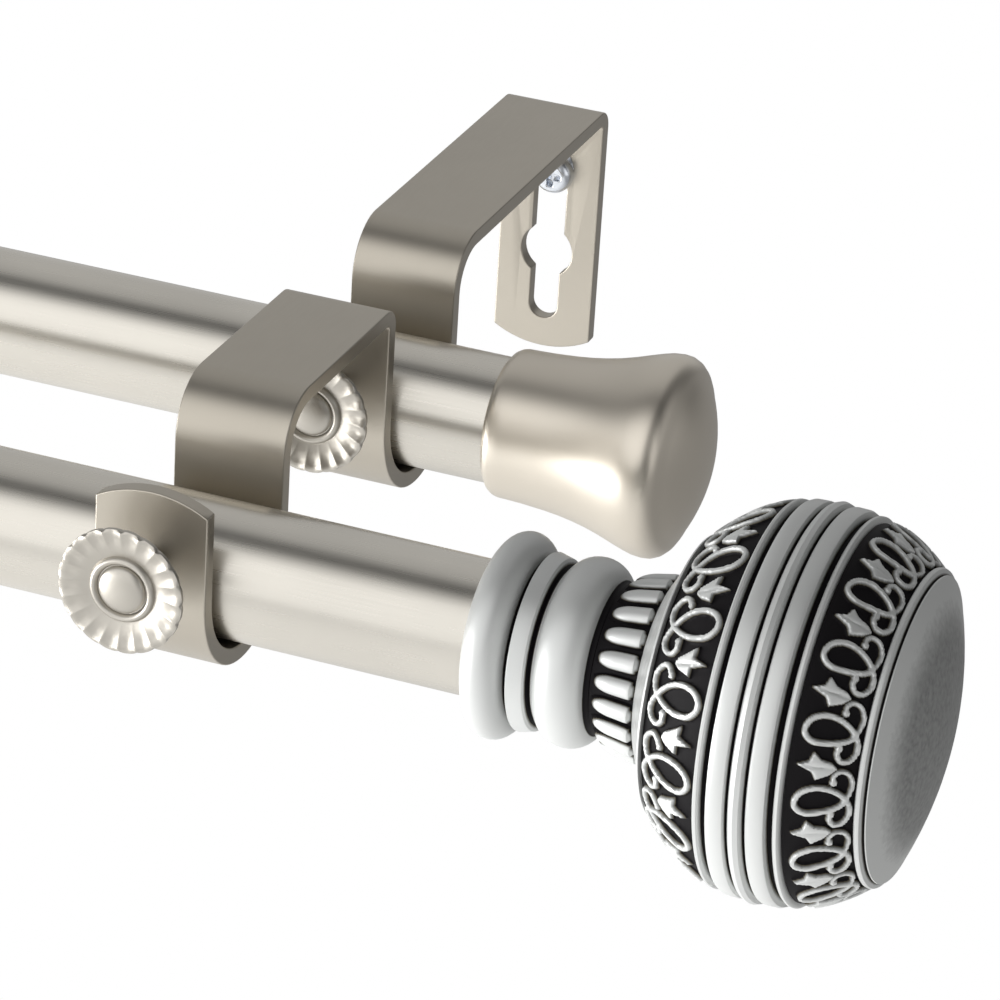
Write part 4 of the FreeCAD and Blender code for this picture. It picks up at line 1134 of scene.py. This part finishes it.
@dataclass
class Studio:
    """White backdrop, pale floor, lamps and the camera at the photograph's place.

    Attributes:
        lens: focal length in mm.
        sensor: width of the camera's sensor in mm.
        place: the camera's place in metres.
        turn: its turn about X, Y and Z in degrees.
        lamps: the lamps.
        floor_height: height of the floor in metres.
        floor_half: half the floor's side in metres.
        floor_fade: where the floor's painted shade starts and ends towards the back right, in metres.
        floor_glow: strength of the light that the floor gives off.
        room_light: strength of the room on soft surfaces.
        room_shine: what reflections see on top of it.
        around: tone of the room over the angle round the poles.
        along: tone of the room over the way along the poles.
    """

    lens: float = 173.945
    sensor: float = 36.0
    place: Tuple[float, float, float] = (0.322827, -0.910205, 0.385483)
    turn: Tuple[float, float, float] = (63.80227, -3.24479, 21.58072)
    floor_height: float = -0.55
    floor_half: float = 6.0
    floor_fade: Tuple[float, float] = (-0.15, 0.5)
    floor_glow: float = 1.5
    room_light: float = 0.8
    room_shine: float = 0.6
    lamps: Tuple[Softbox, ...] = (
        Softbox("key", (-1.1, -0.7, -0.45), (0.03, -0.17, -0.02), 1.1, 26.0),
    )
    around: Tuple[Tuple[float, float], ...] = (
        (0.0, 0.45), (0.19, 0.6), (0.31, 0.85), (0.5, 0.95), (0.59, 1.0), (0.643, 1.0), (0.680, 0.5),
        (0.713, 0.06), (0.74, 0.06), (0.775, 0.38), (0.85, 0.43), (0.93, 0.41), (0.965, 0.42),
        (1.0, 0.45),
    )
    along: Tuple[Tuple[float, float], ...] = (
        (0.0, 0.6), (0.22, 1.0), (0.60, 1.0), (0.72, 0.25), (0.86, 0.25), (0.94, 0.8), (1.0, 0.9),
    )

    def build(self) -> None:
        """Sets up the whole studio."""
        self._camera()
        self._world()
        self._floor()
        for lamp in self.lamps:
            lamp.build()
        scene = bpy.context.scene
        scene.view_settings.view_transform = "Standard"
        scene.view_settings.look = "None"

    def _camera(self) -> None:
        """Puts the camera where the photograph was taken from."""
        data = bpy.data.cameras.new("photograph")
        data.lens = self.lens
        data.sensor_width = self.sensor
        data.clip_start = 0.01
        data.clip_end = 50.0
        item = bpy.data.objects.new("photograph", data)
        bpy.context.scene.collection.objects.link(item)
        item.location = self.place
        item.rotation_euler = Euler([math.radians(angle) for angle in self.turn], "XYZ")
        bpy.context.scene.camera = item

    def _world(self) -> None:
        """White where the camera looks, and else a room with a bright front and a dark line overhead.

        The tone is a product of two ramps: one over the angle round the poles, arctan(z / -y) from straight
        behind over below, front and above to behind again, and one over the part along the poles, x.
        """
        world = bpy.data.worlds.new("room")
        world.use_nodes = True
        tree = world.node_tree
        tree.nodes.clear()
        output = tree.nodes.new("ShaderNodeOutputWorld")
        mix = tree.nodes.new("ShaderNodeMixShader")
        room = tree.nodes.new("ShaderNodeBackground")
        strength = tree.nodes.new("ShaderNodeMath")
        strength.operation = "MULTIPLY_ADD"
        strength.inputs[1].default_value = self.room_shine
        strength.inputs[2].default_value = self.room_light
        white = tree.nodes.new("ShaderNodeBackground")
        white.inputs["Color"].default_value = (1.0, 1.0, 1.0, 1.0)
        path = tree.nodes.new("ShaderNodeLightPath")
        place = tree.nodes.new("ShaderNodeTexCoord")
        split = tree.nodes.new("ShaderNodeSeparateXYZ")
        tree.links.new(place.outputs["Generated"], split.inputs["Vector"])
        front = tree.nodes.new("ShaderNodeMath")
        front.operation = "MULTIPLY"
        front.inputs[1].default_value = -1.0
        tree.links.new(split.outputs["Y"], front.inputs[0])
        turn = tree.nodes.new("ShaderNodeMath")
        turn.operation = "ARCTAN2"
        tree.links.new(split.outputs["Z"], turn.inputs[0])
        tree.links.new(front.outputs["Value"], turn.inputs[1])
        tone = tree.nodes.new("ShaderNodeVectorMath")
        tone.operation = "MULTIPLY"
        sources = ((turn.outputs["Value"], math.pi, self.around), (split.outputs["X"], 1.0, self.along))
        for number, (source, reach, stops) in enumerate(sources):
            part = tree.nodes.new("ShaderNodeMapRange")
            part.inputs["From Min"].default_value = -reach
            part.inputs["From Max"].default_value = reach
            tree.links.new(source, part.inputs["Value"])
            ramp = tree.nodes.new("ShaderNodeValToRGB")
            fill_ramp(ramp, [(position, (grey,) * 3) for position, grey in stops])
            tree.links.new(part.outputs["Result"], ramp.inputs["Fac"])
            tree.links.new(ramp.outputs["Color"], tone.inputs[number])
        tree.links.new(tone.outputs["Vector"], room.inputs["Color"])
        tree.links.new(path.outputs["Is Glossy Ray"], strength.inputs[0])
        tree.links.new(strength.outputs["Value"], room.inputs["Strength"])
        tree.links.new(path.outputs["Is Camera Ray"], mix.inputs["Fac"])
        tree.links.new(room.outputs["Background"], mix.inputs[1])
        tree.links.new(white.outputs["Background"], mix.inputs[2])
        tree.links.new(mix.outputs["Shader"], output.inputs["Surface"])
        bpy.context.scene.world = world

    def _floor(self) -> None:
        """A pale floor below the poles, painted darker towards the back right as shade for the poles to
        reflect, with a glow of its own that throws light up at them.
        """
        mesh = bpy.data.meshes.new("floor")
        signs = ((-1, -1), (1, -1), (1, 1), (-1, 1))
        corners = [(x * self.floor_half, y * self.floor_half, self.floor_height) for x, y in signs]
        mesh.from_pydata(corners, [], [(0, 1, 2, 3)])
        item = bpy.data.objects.new("floor", mesh)
        bpy.context.scene.collection.objects.link(item)
        graph = Graph("pale_floor")
        pale = graph.add("ShaderNodeBsdfDiffuse")
        coordinates = graph.add("ShaderNodeTexCoord")
        away = graph.add("ShaderNodeVectorMath", operation="DOT_PRODUCT")
        away.inputs[1].default_value = (0.75, 0.66, 0.0)
        graph.link(coordinates.outputs["Object"], away.inputs[0])
        back = graph.add("ShaderNodeMapRange")
        back.inputs["From Min"].default_value = self.floor_fade[0]
        back.inputs["From Max"].default_value = self.floor_fade[1]
        graph.link(away.outputs["Value"], back.inputs["Value"])
        # Painted shade: the floor's colour darkens from 0.86 at the front to 0.12 towards the back right.
        shade = graph.ramp(back.outputs["Result"], ((0.0, (0.86, 0.86, 0.85)), (1.0, (0.12, 0.12, 0.118))))
        graph.link(shade, pale.inputs["Color"])
        path = graph.add("ShaderNodeLightPath")
        bounce = graph.add("ShaderNodeMix", data_type="RGBA")
        graph.link(path.outputs["Is Glossy Ray"], bounce.inputs[0])
        # Painted reflection: glossy rays see the floor's glow fall from 0.95 to 0.05 towards the back
        # right, other rays from 0.45 to 0.20.
        for socket, near, far in ((6, 0.95, 0.05), (7, 0.45, 0.20)):
            tone = graph.ramp(back.outputs["Result"], ((0.0, (near,) * 3), (1.0, (far,) * 3)))
            graph.link(tone, bounce.inputs[socket])
        glow = graph.add("ShaderNodeEmission")
        glow.inputs["Strength"].default_value = self.floor_glow
        graph.link(bounce.outputs[2], glow.inputs["Color"])
        lit = graph.add("ShaderNodeAddShader")
        graph.link(pale.outputs["BSDF"], lit.inputs[0])
        graph.link(glow.outputs["Emission"], lit.inputs[1])
        white = graph.add("ShaderNodeEmission")
        white.inputs["Color"].default_value = (1.0, 1.0, 1.0, 1.0)
        mix = graph.add("ShaderNodeMixShader")
        graph.link(path.outputs["Is Camera Ray"], mix.inputs["Fac"])
        graph.link(lit.outputs["Shader"], mix.inputs[1])
        graph.link(white.outputs["Emission"], mix.inputs[2])
        graph.link(mix.outputs["Shader"], graph.output.inputs["Surface"])
        mesh.materials.append(graph.material)


@dataclass
class CurtainPole:
    """The whole object."""

    bench: Bench = field(default_factory=lambda: Bench(Paintbox()))

    def build(self) -> None:
        """Builds every finished piece."""
        self.bench.paint_rest()
        for maker in (Finials, Poles, EndCaps, ThumbScrews, Rosettes, WallScrews, Brackets):
            part = maker(self.bench)
            part.build()
            LOG.info("%s done", maker.__name__)


def main() -> None:
    """Builds the object and its studio."""
    logging.basicConfig(level=logging.INFO, format="%(name)s: %(message)s")
    CurtainPole().build()
    Studio().build()


if __name__ == "__main__":
    main()
